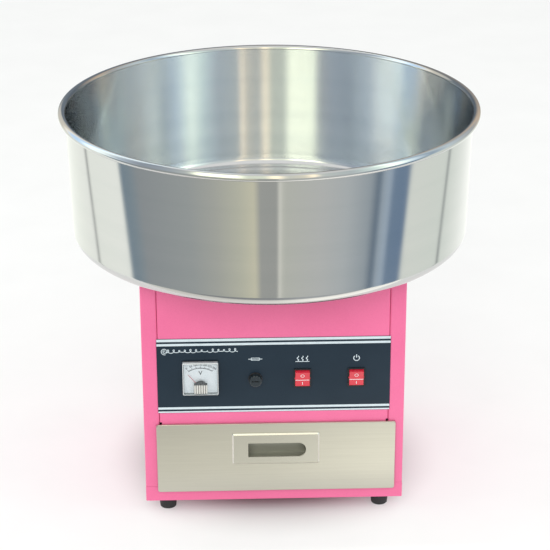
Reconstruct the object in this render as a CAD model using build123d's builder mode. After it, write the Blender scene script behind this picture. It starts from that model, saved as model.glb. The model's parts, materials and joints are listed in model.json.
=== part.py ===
from build123d import *
import os
from math import cos, radians, sin, sqrt

os.makedirs("parts", exist_ok=True)

# Table-top cotton candy machine. The origin is on the ground under the axis of the bowl and
# spinner, the control panel faces -Y, +X is to its right and +Z is up. Lengths are millimetres.

# ---- driving dimensions -------------------------------------------------------------------
SHEET = 1.2                 # cabinet steel
SEAM = 0.3                  # gap between two panels that meet edge to edge
BEND = 2.5                  # outside bend radius of the cabinet sheets
FOOT_HEIGHT = 18.0
HALF_WIDTH = 160.5
HALF_DEPTH = 150.0
LIP_TOP = 38.0              # top edge of the base pan's lips
BODY_TOP = 320.0            # upper face of the top plate
FLANGE_EDGE = 141.0         # where the side panels' front and rear flanges end
SHELF_TOP = 128.0           # upper face of the shelf over the drawer bay
RETURN = 11.0               # depth of the folds that stiffen a panel's edges

BOWL_FLOOR = 322.0          # underside of the bowl's floor
BOWL_SHEET = 0.8
BOWL_COLLAR_RADIUS = 80.0   # inside of the collar round the bowl's centre hole
BOWL_COLLAR_TOP = 337.0
BOWL_TOP = 490.0
BOWL_RADIUS = 260.0         # over the rolled rim
RIM_CURL = 4.8              # radius of the rolled rim's section

SHAFT_RADIUS = 4.0
PRESS_GAP = 0.02            # between the shaft and what is pressed onto it
RUN_GAP = 0.04              # between the shaft and its bearings
HEAD_RADIUS = 62.0
HEAD_BOTTOM = 334.0
HEAD_TOP = 370.0
MOTOR_RADIUS = 46.0

SCREW_RADIUS = 1.95         # M4 shank
SCREW_HOLE = 2.1
SCREW_HEAD = 3.8
SCREW_HEAD_HEIGHT = 2.2

FRONT = Plane.XZ.offset(HALF_DEPTH)              # cabinet front face, looking out towards -Y
BACK = Plane.XZ.offset(-HALF_DEPTH)              # cabinet rear face
BOTTOM_UP = (Align.CENTER, Align.CENTER, Align.MIN)


def save(piece, name):
    """Labels a finished piece and writes it as one STEP file."""
    piece.part.label = name
    export_step(piece.part, f"parts/{name}.step")


# ---- feet ---------------------------------------------------------------------------------
FOOT_X = 133.7
FOOT_Y = 130.0
FOOT_TOP_RADIUS = 11.6
FOOT_BASE_RADIUS = 10.2
FOOT_WELL_RADIUS = 5.0
FOOT_WELL_DEPTH = 9.0
FOOT_SCREW_HEAD_RADIUS = 4.4
FOOT_SCREW_HEAD_HEIGHT = 2.6
FOOT_SCREW_LENGTH = 14.0
FOOT_ROUNDING = 1.5

with BuildPart() as feet:
    with GridLocations(2 * FOOT_X, 2 * FOOT_Y, 2, 2):
        Cone(FOOT_BASE_RADIUS, FOOT_TOP_RADIUS, FOOT_HEIGHT, align=BOTTOM_UP)
        Cylinder(FOOT_WELL_RADIUS, FOOT_WELL_DEPTH, align=BOTTOM_UP, mode=Mode.SUBTRACT)
        Cylinder(SCREW_HOLE, FOOT_HEIGHT, align=BOTTOM_UP, mode=Mode.SUBTRACT)
    fillet(feet.faces().group_by(Axis.Z)[0].edges().filter_by(
        lambda e: e.radius > FOOT_WELL_RADIUS + 1), FOOT_ROUNDING)
save(feet, "feet")

with BuildPart(Plane.XY.offset(FOOT_WELL_DEPTH - FOOT_SCREW_HEAD_HEIGHT)) as foot_screws:
    with GridLocations(2 * FOOT_X, 2 * FOOT_Y, 2, 2):
        Cylinder(FOOT_SCREW_HEAD_RADIUS, FOOT_SCREW_HEAD_HEIGHT, align=BOTTOM_UP)
        Cylinder(SCREW_RADIUS, FOOT_SCREW_HEAD_HEIGHT + FOOT_SCREW_LENGTH, align=BOTTOM_UP)
save(foot_screws, "foot_screws")

# ---- base pan -----------------------------------------------------------------------------
PAN_HALF_WIDTH = HALF_WIDTH - SHEET
PAN_HALF_DEPTH = HALF_DEPTH - SHEET
INLET_PITCH_X = 60.0        # air inlet slots in the pan, three across and eight deep
INLET_PITCH_Y = 14.0
INLET_LENGTH = 44.0
INLET_WIDTH = 5.0
TAB_LENGTH = 230.0
TAB_TOP = 52.0
SIDE_SCREW_Y = 95.0
SIDE_SCREW_Z = 45.0
REAR_SCREW_X = 105.0
REAR_SCREW_LOW = 28.0

with BuildPart() as base_pan:
    with BuildSketch(Plane.XY.offset(FOOT_HEIGHT)):
        RectangleRounded(2 * PAN_HALF_WIDTH, 2 * PAN_HALF_DEPTH, BEND)
    extrude(amount=LIP_TOP - FOOT_HEIGHT)
    offset(amount=-SHEET, openings=base_pan.faces().sort_by(Axis.Z)[-1])
    # front lip, as wide as the cabinet
    with BuildSketch(Plane.XZ.offset(PAN_HALF_DEPTH)):
        with Locations((0, (FOOT_HEIGHT + LIP_TOP) / 2)):
            RectangleRounded(2 * HALF_WIDTH, LIP_TOP - FOOT_HEIGHT, SHEET)
    extrude(amount=SHEET)
    # tabs that the side panels are screwed to
    for side in (-1, 1):
        with BuildSketch(Plane.YZ.offset(side * PAN_HALF_WIDTH)):
            with Locations((0, (LIP_TOP - BEND + TAB_TOP) / 2)):
                Rectangle(TAB_LENGTH, TAB_TOP - LIP_TOP + BEND)
            with Locations((-SIDE_SCREW_Y, SIDE_SCREW_Z), (SIDE_SCREW_Y, SIDE_SCREW_Z)):
                Circle(SCREW_HOLE, mode=Mode.SUBTRACT)
        extrude(amount=-side * SHEET)
    # foot screw holes and the air inlet slots under the drawer
    with BuildSketch(Plane.XY.offset(FOOT_HEIGHT)):
        with GridLocations(2 * FOOT_X, 2 * FOOT_Y, 2, 2):
            Circle(SCREW_HOLE)
        with GridLocations(INLET_PITCH_X, INLET_PITCH_Y, 3, 8):
            SlotOverall(INLET_LENGTH, INLET_WIDTH)
    extrude(amount=SHEET, mode=Mode.SUBTRACT)
    with BuildSketch(BACK):
        with Locations((-REAR_SCREW_X, REAR_SCREW_LOW), (REAR_SCREW_X, REAR_SCREW_LOW)):
            Circle(SCREW_HOLE)
    extrude(amount=RETURN, mode=Mode.SUBTRACT)
save(base_pan, "base_pan")

# ---- side panels --------------------------------------------------------------------------
PANEL_TOP = BODY_TOP - SHEET
PANEL_BOTTOM = FOOT_HEIGHT + SEAM
FLANGE_BOTTOM = LIP_TOP + SEAM
TOP_SCREW_Z = 311.0
LOUVRE_LENGTH = 62.0
LOUVRE_HEIGHT = 4.0
LOUVRE_PITCH = 13.0
LOUVRE_Z = 238.0


def side_panel(side):
    """C-shaped side panel: web, front and rear flanges, and a stiffening return on each."""
    with BuildPart() as panel:
        with BuildSketch(Plane.XY.offset(PANEL_BOTTOM)):
            with BuildLine():
                FilletPolyline(
                    (side * FLANGE_EDGE, RETURN - HALF_DEPTH),
                    (side * FLANGE_EDGE, -HALF_DEPTH),
                    (side * HALF_WIDTH, -HALF_DEPTH),
                    (side * HALF_WIDTH, HALF_DEPTH),
                    (side * FLANGE_EDGE, HALF_DEPTH),
                    (side * FLANGE_EDGE, HALF_DEPTH - RETURN),
                    radius=BEND,
                )
                offset(amount=SHEET, side=Side.LEFT if side > 0 else Side.RIGHT)
            make_face()
        extrude(amount=PANEL_TOP - PANEL_BOTTOM)
        # the front flange stops above the base pan's lip, and both returns stop above the pan
        with BuildSketch(Plane.XY.offset(PANEL_BOTTOM)):
            with Locations((side * (FLANGE_EDGE + HALF_WIDTH) / 2, -HALF_DEPTH)):
                Rectangle(2 * (HALF_WIDTH - FLANGE_EDGE), 2 * BEND)
            with Locations((side * FLANGE_EDGE, 0)):
                Rectangle(2 * BEND + SHEET, 2 * PAN_HALF_DEPTH)
            with Locations((side * (PAN_HALF_WIDTH - BEND), 0)):
                Rectangle(2 * BEND, 2 * PAN_HALF_DEPTH)
        extrude(amount=FLANGE_BOTTOM - PANEL_BOTTOM, mode=Mode.SUBTRACT)
        # ventilation slots beside the motor, and screw holes
        with BuildSketch(Plane.YZ.offset(side * HALF_WIDTH)):
            with Locations((0, LOUVRE_Z)):
                with GridLocations(1.25 * LOUVRE_LENGTH, LOUVRE_PITCH, 3, 7):
                    SlotOverall(LOUVRE_LENGTH, LOUVRE_HEIGHT)
            with Locations((0, (SIDE_SCREW_Z + TOP_SCREW_Z) / 2)):
                with GridLocations(2 * SIDE_SCREW_Y, TOP_SCREW_Z - SIDE_SCREW_Z, 2, 2):
                    Circle(SCREW_HOLE)
        extrude(amount=-side * 2 * SHEET, mode=Mode.SUBTRACT)
    return panel


save(side_panel(-1), "left_side_panel")
save(side_panel(1), "right_side_panel")

# ---- rear cover ---------------------------------------------------------------------------
COVER_EDGE = FLANGE_EDGE - SEAM
COVER_BEND = 1.5
VENT_CENTRE_Z = 235.0       # rear air slots, three across and nine high
VENT_PITCH_X = 76.0
VENT_PITCH_Z = 12.0
VENT_LENGTH = 60.0
VENT_WIDTH = 4.5
SKIRT_BOTTOM = 116.0        # lower edge of the front panel, behind the drawer's top edge
GLAND_X = 96.0
GLAND_Z = 152.0
GLAND_RADIUS = 8.0

with BuildPart() as rear_cover:
    with BuildSketch(Plane.XY.offset(PANEL_BOTTOM)):
        with BuildLine():
            FilletPolyline(
                (COVER_EDGE, HALF_DEPTH - RETURN),
                (COVER_EDGE, HALF_DEPTH),
                (-COVER_EDGE, HALF_DEPTH),
                (-COVER_EDGE, HALF_DEPTH - RETURN),
                radius=COVER_BEND,
            )
            offset(amount=SHEET, side=Side.LEFT)
        make_face()
    extrude(amount=PANEL_TOP - PANEL_BOTTOM)
    with BuildSketch(Plane.XY.offset(PANEL_BOTTOM)):
        Rectangle(2 * HALF_WIDTH, 2 * PAN_HALF_DEPTH)
    extrude(amount=FLANGE_BOTTOM - PANEL_BOTTOM, mode=Mode.SUBTRACT)
    with BuildSketch(BACK):
        with Locations((0, VENT_CENTRE_Z)):
            with GridLocations(VENT_PITCH_X, VENT_PITCH_Z, 3, 9):
                SlotOverall(VENT_LENGTH, VENT_WIDTH)
        with Locations((0, (REAR_SCREW_LOW + TOP_SCREW_Z) / 2)):
            with GridLocations(2 * REAR_SCREW_X, TOP_SCREW_Z - REAR_SCREW_LOW, 2, 2):
                Circle(SCREW_HOLE)
        with Locations((GLAND_X, GLAND_Z)):
            Circle(GLAND_RADIUS + RUN_GAP)
    extrude(amount=2 * SHEET, mode=Mode.SUBTRACT)
save(rear_cover, "rear_cover")

# ---- controls: shared places --------------------------------------------------------------
OVERLAY = 0.5
OVERLAY_FACE = HALF_DEPTH + OVERLAY
OVERLAY_HALF_WIDTH = 142.3
OVERLAY_BOTTOM = 141.0
OVERLAY_TOP = 241.0
HEAT_X = 34.9
POWER_X = 100.9
SWITCH_Z = 186.5
SWITCH_BODY_WIDTH = 19.4
SWITCH_BODY_HEIGHT = 23.0
METER_X = -89.5
METER_Z = 189.9
METER_SIDE = 43.5
METER_BARREL_RADIUS = 17.5
METER_STUD_X = 18.6
METER_STUD_Z = 16.0
METER_STUD_RADIUS = 1.5
FUSE_X = -22.5
FUSE_Z = 186.0
FUSE_BODY_RADIUS = 6.4
PANEL_GAP = 0.1             # round each control in its cut-out


def control_openings():
    """Cut-outs for the meter, the fuse holder and the two switches, on a front plane."""
    with BuildSketch() as openings:
        with Locations((METER_X, METER_Z)):
            Circle(METER_BARREL_RADIUS + PANEL_GAP)
            with GridLocations(2 * METER_STUD_X, 2 * METER_STUD_Z, 2, 2):
                Circle(METER_STUD_RADIUS + PANEL_GAP)
        with Locations((FUSE_X, FUSE_Z)):
            Circle(FUSE_BODY_RADIUS + PANEL_GAP)
        with Locations((HEAT_X, SWITCH_Z), (POWER_X, SWITCH_Z)):
            Rectangle(SWITCH_BODY_WIDTH + 2 * PANEL_GAP, SWITCH_BODY_HEIGHT + 2 * PANEL_GAP)
    return openings.sketch


# ---- front panel --------------------------------------------------------------------------
with BuildPart() as front_panel:
    with BuildSketch(Plane.XY.offset(SHELF_TOP)):
        with BuildLine():
            FilletPolyline(
                (-COVER_EDGE, RETURN - HALF_DEPTH),
                (-COVER_EDGE, -HALF_DEPTH),
                (COVER_EDGE, -HALF_DEPTH),
                (COVER_EDGE, RETURN - HALF_DEPTH),
                radius=COVER_BEND,
            )
            offset(amount=SHEET, side=Side.LEFT)
        make_face()
    extrude(amount=PANEL_TOP - SHELF_TOP)
    # bottom return, lying on the shelf
    with BuildSketch(Plane.XY.offset(SHELF_TOP)):
        with Locations((0, RETURN / 2 + SHEET - HALF_DEPTH)):
            Rectangle(2 * (COVER_EDGE - 2 * BEND), RETURN)
    extrude(amount=SHEET)
    # skirt that closes the gap over the drawer
    with BuildSketch(Plane.XY.offset(SKIRT_BOTTOM)):
        with Locations((0, SHEET / 2 - HALF_DEPTH)):
            Rectangle(2 * (COVER_EDGE - BEND), SHEET)
    extrude(amount=SHELF_TOP + SHEET - SKIRT_BOTTOM)
    extrude(control_openings().moved(Location(FRONT)), amount=-2 * SHEET, mode=Mode.SUBTRACT)
save(front_panel, "front_panel")

with BuildPart() as control_overlay:
    with BuildSketch(FRONT):
        with Locations((0, (OVERLAY_BOTTOM + OVERLAY_TOP) / 2)):
            RectangleRounded(2 * OVERLAY_HALF_WIDTH, OVERLAY_TOP - OVERLAY_BOTTOM, 2)
    extrude(amount=OVERLAY)
    extrude(control_openings().moved(Location(FRONT)), amount=OVERLAY, mode=Mode.SUBTRACT)
save(control_overlay, "control_overlay")

# ---- divider shelf and drawer rails -------------------------------------------------------
SHELF_DROP = 10.0
RAIL_BOTTOM = 110.0
RAIL_WALL_X = 141.2         # outer face of a rail's upright leg
RAIL_LEG_X = 133.4          # tip of the leg that the drawer runs on
RAIL_FOOT_X = 152.0         # tip of the leg that is welded under the shelf
RAIL_FRONT = -136.0
RAIL_LENGTH = 226.0

with BuildPart() as divider_shelf:
    with BuildSketch(Plane.XZ.offset(RETURN - HALF_DEPTH)):
        with BuildLine():
            FilletPolyline(
                (-PAN_HALF_WIDTH, SHELF_TOP - SHELF_DROP),
                (-PAN_HALF_WIDTH, SHELF_TOP),
                (PAN_HALF_WIDTH, SHELF_TOP),
                (PAN_HALF_WIDTH, SHELF_TOP - SHELF_DROP),
                radius=BEND,
            )
            offset(amount=SHEET, side=Side.RIGHT)
        make_face()
    extrude(amount=2 * (HALF_DEPTH - RETURN))
    # tongues that reach the front panel and the rear cover between the panels' returns
    with BuildSketch(Plane.XY.offset(SHELF_TOP - SHEET)):
        Rectangle(2 * (COVER_EDGE - 2 * BEND), 2 * PAN_HALF_DEPTH)
    extrude(amount=SHEET)
save(divider_shelf, "divider_shelf")


def drawer_rail(side):
    """Z-shaped rail hung under the shelf; the drawer's folded rim runs on its lower leg."""
    with BuildPart() as rail:
        with BuildSketch(Plane.XZ.offset(-RAIL_FRONT - RAIL_LENGTH)):
            with BuildLine():
                FilletPolyline(
                    (side * RAIL_FOOT_X, SHELF_TOP - SHEET),
                    (side * (RAIL_WALL_X - SHEET), SHELF_TOP - SHEET),
                    (side * (RAIL_WALL_X - SHEET), RAIL_BOTTOM + SHEET),
                    (side * RAIL_LEG_X, RAIL_BOTTOM + SHEET),
                    radius=[2.5, 1.3],
                )
                offset(amount=SHEET, side=Side.LEFT if side > 0 else Side.RIGHT)
            make_face()
        extrude(amount=RAIL_LENGTH)
    return rail


save(drawer_rail(-1), "left_drawer_rail")
save(drawer_rail(1), "right_drawer_rail")

# ---- top plate, bowl seal and spring clips ------------------------------------------------
SPIGOT_RADIUS = 74.0
SPIGOT_TOP = 331.0
TOP_LIP = 15.0
TOP_LIP_HALF_WIDTH = 136.0
MOUNT_X = 78.0              # motor mount screws
MOUNT_Y = 46.0
MOUNT_SCREW_RADIUS = 2.4
SEAL_INNER_RADIUS = 104.0
SEAL_OUTER_RADIUS = 118.0
CLIP_WIDTH = 12.0
CLIP_SHEET = 0.6
CLIP_REACH = 5.0            # how far a clip bulges out from the spigot
CLIP_LIFT = 0.4             # clip's lower end above the top plate
CLIP_FOOT = 2.4             # top of the clip's upright foot above the top plate
CLIP_BULGE_DROP = 3.5       # widest point of the clip below the spigot's edge
CLIP_OVERTOP = 1.5          # clip's upper end above the spigot's edge
CLIP_BEND = 1.2

with BuildPart() as top_plate:
    with BuildSketch(Plane.XY.offset(PANEL_TOP)):
        RectangleRounded(2 * HALF_WIDTH, 2 * HALF_DEPTH, BEND)
    extrude(amount=SHEET)
    with BuildSketch(Plane.XY.offset(PANEL_TOP)):
        Circle(SPIGOT_RADIUS)
    extrude(amount=SPIGOT_TOP - PANEL_TOP)
    with BuildSketch(Plane.XY.offset(PANEL_TOP)):
        Circle(SPIGOT_RADIUS - SHEET)
        with GridLocations(2 * MOUNT_X, 2 * MOUNT_Y, 2, 2):
            Circle(MOUNT_SCREW_RADIUS + PANEL_GAP)
    extrude(amount=SPIGOT_TOP - PANEL_TOP, mode=Mode.SUBTRACT)
    # lips that the side panels and the rear cover are screwed to
    with BuildSketch(Plane.XY.offset(PANEL_TOP - TOP_LIP)):
        with GridLocations(2 * PAN_HALF_WIDTH - SHEET, 0, 2, 1):
            Rectangle(SHEET, 2 * TOP_LIP_HALF_WIDTH)
        with GridLocations(0, 2 * PAN_HALF_DEPTH - SHEET, 1, 2):
            Rectangle(2 * TOP_LIP_HALF_WIDTH, SHEET)
    extrude(amount=TOP_LIP)
    with BuildSketch(Plane.YZ.offset(-HALF_WIDTH)):
        with Locations((-SIDE_SCREW_Y, TOP_SCREW_Z), (SIDE_SCREW_Y, TOP_SCREW_Z)):
            Circle(SCREW_HOLE)
    extrude(amount=2 * HALF_WIDTH, mode=Mode.SUBTRACT)
    with BuildSketch(BACK):
        with Locations((-REAR_SCREW_X, TOP_SCREW_Z), (REAR_SCREW_X, TOP_SCREW_Z)):
            Circle(SCREW_HOLE)
    extrude(amount=2 * RETURN, mode=Mode.SUBTRACT)
save(top_plate, "top_plate")

with BuildPart(Plane.XY.offset(BODY_TOP)) as bowl_seal:
    Cylinder(SEAL_OUTER_RADIUS, BOWL_FLOOR - BODY_TOP, align=BOTTOM_UP)
    Cylinder(SEAL_INNER_RADIUS, BOWL_FLOOR - BODY_TOP, align=BOTTOM_UP, mode=Mode.SUBTRACT)
save(bowl_seal, "bowl_seal")

with BuildPart() as bowl_clips:
    for turn in (45, 135, 225, 315):
        clip_plane = Plane((0, 0, 0), x_dir=(cos(radians(turn)), sin(radians(turn)), 0),
                           z_dir=(sin(radians(turn)), -cos(radians(turn)), 0))
        with BuildSketch(clip_plane.offset(-CLIP_WIDTH / 2)):
            with BuildLine():
                FilletPolyline(
                    (SPIGOT_RADIUS + PRESS_GAP, BODY_TOP + CLIP_LIFT),
                    (SPIGOT_RADIUS + PRESS_GAP, BODY_TOP + CLIP_FOOT),
                    (SPIGOT_RADIUS + CLIP_REACH, SPIGOT_TOP - CLIP_BULGE_DROP),
                    (SPIGOT_RADIUS + PRESS_GAP, SPIGOT_TOP + CLIP_OVERTOP),
                    radius=CLIP_BEND,
                )
                offset(amount=CLIP_SHEET, side=Side.RIGHT)
            make_face()
        extrude(amount=CLIP_WIDTH)
save(bowl_clips, "bowl_clips")

# ---- bowl ---------------------------------------------------------------------------------
# One spun sheet: collar, flat floor, rounded corner, slightly flared wall and rolled rim. The
# path follows the inside surface, and the sheet's thickness lies outside it.
CURL_START = (BOWL_RADIUS - 2 * RIM_CURL, BOWL_TOP - RIM_CURL)
WALL_FOOT = 246.2           # where the inside of the wall would meet the floor
COLLAR_BEND = 3.0
WALL_BEND = 14.2
CURL_SWEEP = -272           # degrees the rim is rolled through

with BuildPart() as bowl:
    with BuildSketch(Plane.XZ):
        with BuildLine():
            wall = FilletPolyline(
                (BOWL_COLLAR_RADIUS + BOWL_SHEET, BOWL_COLLAR_TOP),
                (BOWL_COLLAR_RADIUS + BOWL_SHEET, BOWL_FLOOR + BOWL_SHEET),
                (WALL_FOOT, BOWL_FLOOR + BOWL_SHEET),
                CURL_START,
                radius=[COLLAR_BEND, WALL_BEND],
            )
            JernArc(start=wall @ 1, tangent=wall % 1, radius=RIM_CURL, arc_size=CURL_SWEEP)
            offset(amount=BOWL_SHEET, side=Side.RIGHT)
        make_face()
    revolve(axis=Axis.Z)
save(bowl, "bowl")

# ---- spinner: shaft and what is pressed onto it ---------------------------------------------
SHAFT_BOTTOM = 154.0
SHAFT_TOP = 346.0
CORE_BOTTOM = 216.0
CORE_TOP = 256.0
ROTOR_RADIUS = 28.0
FAN_BOTTOM = 288.0
FAN_HEIGHT = 15.0
FAN_RADIUS = 44.0
FAN_HUB_RADIUS = 11.0
FAN_PITCH = 38.0            # blade angle
RING_HUB_RADIUS = 9.0
RING_RADIUS = 12.0
RING_HEIGHT = 8.0
RING_CENTRES = (168.0, 184.0)
BORE = SHAFT_RADIUS + PRESS_GAP
SHAFT_BORE = 1.6            # hole through the shaft for the heater leads
SHAFT_CHAMFER = 0.6
CAGE_RING_HEIGHT = 4.0
CAGE_RING_OUTER = ROTOR_RADIUS - 2
CAGE_RING_INNER = ROTOR_RADIUS - 11
FAN_BLADES = 7
BLADE_CHORD = 21.0
BLADE_SHEET = 1.6
RING_HUB_HEIGHT = 34.0
RING_BARRIER_HEIGHT = 4.0
RING_BARRIER_RADIUS = RING_RADIUS + 1
RING_BARRIER_BASE = 14.0    # above the hub's lower end

with BuildPart(Plane.XY.offset(SHAFT_BOTTOM)) as spinner_shaft:
    Cylinder(SHAFT_RADIUS, SHAFT_TOP - SHAFT_BOTTOM, align=BOTTOM_UP)
    chamfer(spinner_shaft.edges().group_by(Axis.Z)[0], SHAFT_CHAMFER)
    chamfer(spinner_shaft.edges().group_by(Axis.Z)[-1], SHAFT_CHAMFER)
    Cylinder(SHAFT_BORE, SHAFT_TOP - SHAFT_BOTTOM, align=BOTTOM_UP, mode=Mode.SUBTRACT)
save(spinner_shaft, "spinner_shaft")

with BuildPart(Plane.XY.offset(CORE_BOTTOM)) as rotor:
    Cylinder(ROTOR_RADIUS, CORE_TOP - CORE_BOTTOM, align=BOTTOM_UP)
    # cast cage rings at both ends
    with Locations((0, 0, -CAGE_RING_HEIGHT), (0, 0, CORE_TOP - CORE_BOTTOM)):
        Cylinder(CAGE_RING_OUTER, CAGE_RING_HEIGHT, align=BOTTOM_UP)
    with Locations((0, 0, -CAGE_RING_HEIGHT), (0, 0, CORE_TOP - CORE_BOTTOM)):
        Cylinder(CAGE_RING_INNER, CAGE_RING_HEIGHT, align=BOTTOM_UP, mode=Mode.SUBTRACT)
    with Locations((0, 0, -CAGE_RING_HEIGHT)):
        Cylinder(BORE, CORE_TOP - CORE_BOTTOM + 2 * CAGE_RING_HEIGHT, align=BOTTOM_UP,
                 mode=Mode.SUBTRACT)
save(rotor, "rotor")

with BuildPart(Plane.XY.offset(FAN_BOTTOM)) as cooling_fan:
    Cylinder(FAN_HUB_RADIUS, FAN_HEIGHT, align=BOTTOM_UP)
    for blade in range(FAN_BLADES):
        turn = radians(blade * 360 / FAN_BLADES)
        outward = (cos(turn), sin(turn), 0)
        tilt = radians(FAN_PITCH)
        chord = (-sin(turn) * cos(tilt), cos(turn) * cos(tilt), sin(tilt))
        root = Vector(outward) * (FAN_HUB_RADIUS - 2) + Vector(0, 0, FAN_BOTTOM + FAN_HEIGHT / 2)
        with BuildSketch(Plane(root, x_dir=chord, z_dir=outward)):
            SlotOverall(BLADE_CHORD, BLADE_SHEET)
        extrude(amount=FAN_RADIUS - FAN_HUB_RADIUS)
    Cylinder(BORE, FAN_HEIGHT, align=BOTTOM_UP, mode=Mode.SUBTRACT)
save(cooling_fan, "cooling_fan")

with BuildPart(Plane.XY.offset(RING_CENTRES[0] - RING_HEIGHT)) as slip_ring_hub:
    Cylinder(RING_HUB_RADIUS, RING_HUB_HEIGHT, align=BOTTOM_UP)
    with Locations((0, 0, RING_BARRIER_BASE)):
        Cylinder(RING_BARRIER_RADIUS, RING_BARRIER_HEIGHT, align=BOTTOM_UP)
    Cylinder(BORE, RING_HUB_HEIGHT, align=BOTTOM_UP, mode=Mode.SUBTRACT)
save(slip_ring_hub, "slip_ring_hub")

with BuildPart() as slip_rings:
    for height in RING_CENTRES:
        with Locations((0, 0, height)):
            Cylinder(RING_RADIUS, RING_HEIGHT)
            Cylinder(RING_HUB_RADIUS + PRESS_GAP, RING_HEIGHT, mode=Mode.SUBTRACT)
save(slip_rings, "slip_rings")

# ---- spinner: head --------------------------------------------------------------------------
BASE_PLATE = 3.0
HUB_RADIUS = 10.0
MESH_RADIUS = 59.0
MESH_SHEET = 0.8
MESH_BOTTOM = HEAD_BOTTOM + BASE_PLATE
MESH_TOP = 361.0
MESH_SLOTS = 60
HEATER_RADIUS = 54.0
HEATER_WIRE = 1.1
HEATER_HEIGHTS = (342.0, 347.0, 352.0, 357.0)
POST_RADIUS = 2.4
POST_CIRCLE = 50.2
HEAD_SCREW_CIRCLE = 46.0
COVER_SHEET = 1.6
COVER_MOUTH_RADIUS = 19.0
COVER_SKIRT = 2.5           # how far the cover's edge hangs over the mesh
COVER_FUNNEL = 8.0          # depth of the funnel round the cover's mouth
DISH_RADIUS = 42.0
DISH_CONE_RADIUS = 12.0
DISH_CONE_RISE = 3.0
DISH_DROP = 4.0             # of the dish's edge below the shaft's end
DISH_SHEET = 1.0
DISH_SEAT = 3.0             # depth of the seat on the base's hub
BASE_HUB_DROP = 9.0         # length of the base's hub below the plate
BASE_RIM = 3.0              # height of the rim that holds the mesh
MESH_SEAT = 0.3
SLOT_WIDTH = 2.2
MESH_MARGIN = 5.0           # unslotted band at the mesh's ends
HEAD_SCREW_LENGTH = 32.5
HEAD_SCREW_BOTTOM = 0.5     # above the underside of the base

with BuildPart() as head_base:
    with BuildSketch(Plane.XZ):
        with BuildLine():
            Polyline(
                (BORE, HEAD_BOTTOM - BASE_HUB_DROP),
                (HUB_RADIUS, HEAD_BOTTOM - BASE_HUB_DROP),
                (HUB_RADIUS, HEAD_BOTTOM),
                (HEAD_RADIUS, HEAD_BOTTOM),
                (HEAD_RADIUS, MESH_BOTTOM + BASE_RIM),
                (MESH_RADIUS + MESH_SEAT, MESH_BOTTOM + BASE_RIM),
                (MESH_RADIUS + MESH_SEAT, MESH_BOTTOM),
                (HUB_RADIUS, MESH_BOTTOM),
                (HUB_RADIUS, SHAFT_TOP - DISH_SEAT),
                (BORE, SHAFT_TOP - DISH_SEAT),
                close=True,
            )
        make_face()
    revolve(axis=Axis.Z)
    with BuildSketch(Plane.XY.offset(HEAD_BOTTOM)):
        with PolarLocations(HEAD_SCREW_CIRCLE, 4, start_angle=45):
            Circle(SCREW_HOLE)
    extrude(amount=BASE_PLATE, mode=Mode.SUBTRACT)
save(head_base, "head_base")

with BuildPart(Plane.XY.offset(MESH_BOTTOM)) as head_mesh:
    Cylinder(MESH_RADIUS, MESH_TOP - MESH_BOTTOM, align=BOTTOM_UP)
    Cylinder(MESH_RADIUS - MESH_SHEET, MESH_TOP - MESH_BOTTOM, align=BOTTOM_UP,
             mode=Mode.SUBTRACT)
    with PolarLocations(MESH_RADIUS, MESH_SLOTS):
        with Locations((0, 0, (MESH_TOP - MESH_BOTTOM) / 2)):
            Box(4 * MESH_SHEET, SLOT_WIDTH, MESH_TOP - MESH_BOTTOM - 2 * MESH_MARGIN,
                mode=Mode.SUBTRACT)
save(head_mesh, "head_mesh")

with BuildPart() as heating_rings:
    for height in HEATER_HEIGHTS:
        with Locations((0, 0, height)):
            Torus(HEATER_RADIUS, HEATER_WIRE)
save(heating_rings, "heating_rings")

with BuildPart(Plane.XY.offset(MESH_BOTTOM)) as element_posts:
    with PolarLocations(POST_CIRCLE, 6):
        Cylinder(POST_RADIUS, MESH_TOP - MESH_BOTTOM, align=BOTTOM_UP)
save(element_posts, "element_posts")

with BuildPart() as sugar_dish:
    with BuildSketch(Plane.XZ):
        with BuildLine():
            Polyline(
                (0, SHAFT_TOP + DISH_CONE_RISE + DISH_SHEET / 2),
                (DISH_CONE_RADIUS, SHAFT_TOP + DISH_SHEET / 2),
                (DISH_RADIUS, SHAFT_TOP - DISH_DROP),
                (DISH_RADIUS, SHAFT_TOP - DISH_DROP - DISH_SHEET),
                (HUB_RADIUS + DISH_SEAT, SHAFT_TOP - DISH_SEAT / 2),
                (HUB_RADIUS + DISH_SEAT, SHAFT_TOP - DISH_SEAT),
                (SHAFT_RADIUS + 2, SHAFT_TOP - DISH_SEAT),
                (SHAFT_RADIUS + 2, SHAFT_TOP + RUN_GAP),
                (0, SHAFT_TOP + RUN_GAP),
                close=True,
            )
        make_face()
    revolve(axis=Axis.Z)
save(sugar_dish, "sugar_dish")

with BuildPart() as head_cover:
    with BuildSketch(Plane.XZ):
        with BuildLine():
            FilletPolyline(
                (HEAD_RADIUS, MESH_TOP - COVER_SKIRT),
                (HEAD_RADIUS, MESH_TOP + COVER_SHEET),
                (COVER_MOUTH_RADIUS + COVER_FUNNEL / 2, HEAD_TOP),
                (COVER_MOUTH_RADIUS, HEAD_TOP - COVER_FUNNEL),
                radius=[2.0, 2.0],
            )
            offset(amount=COVER_SHEET, side=Side.LEFT)
        make_face()
    revolve(axis=Axis.Z)
    with BuildSketch(Plane.XY.offset(MESH_TOP)):
        with PolarLocations(HEAD_SCREW_CIRCLE, 4, start_angle=45):
            Circle(SCREW_HOLE)
    extrude(amount=HEAD_TOP - MESH_TOP, mode=Mode.SUBTRACT)
save(head_cover, "head_cover")

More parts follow.
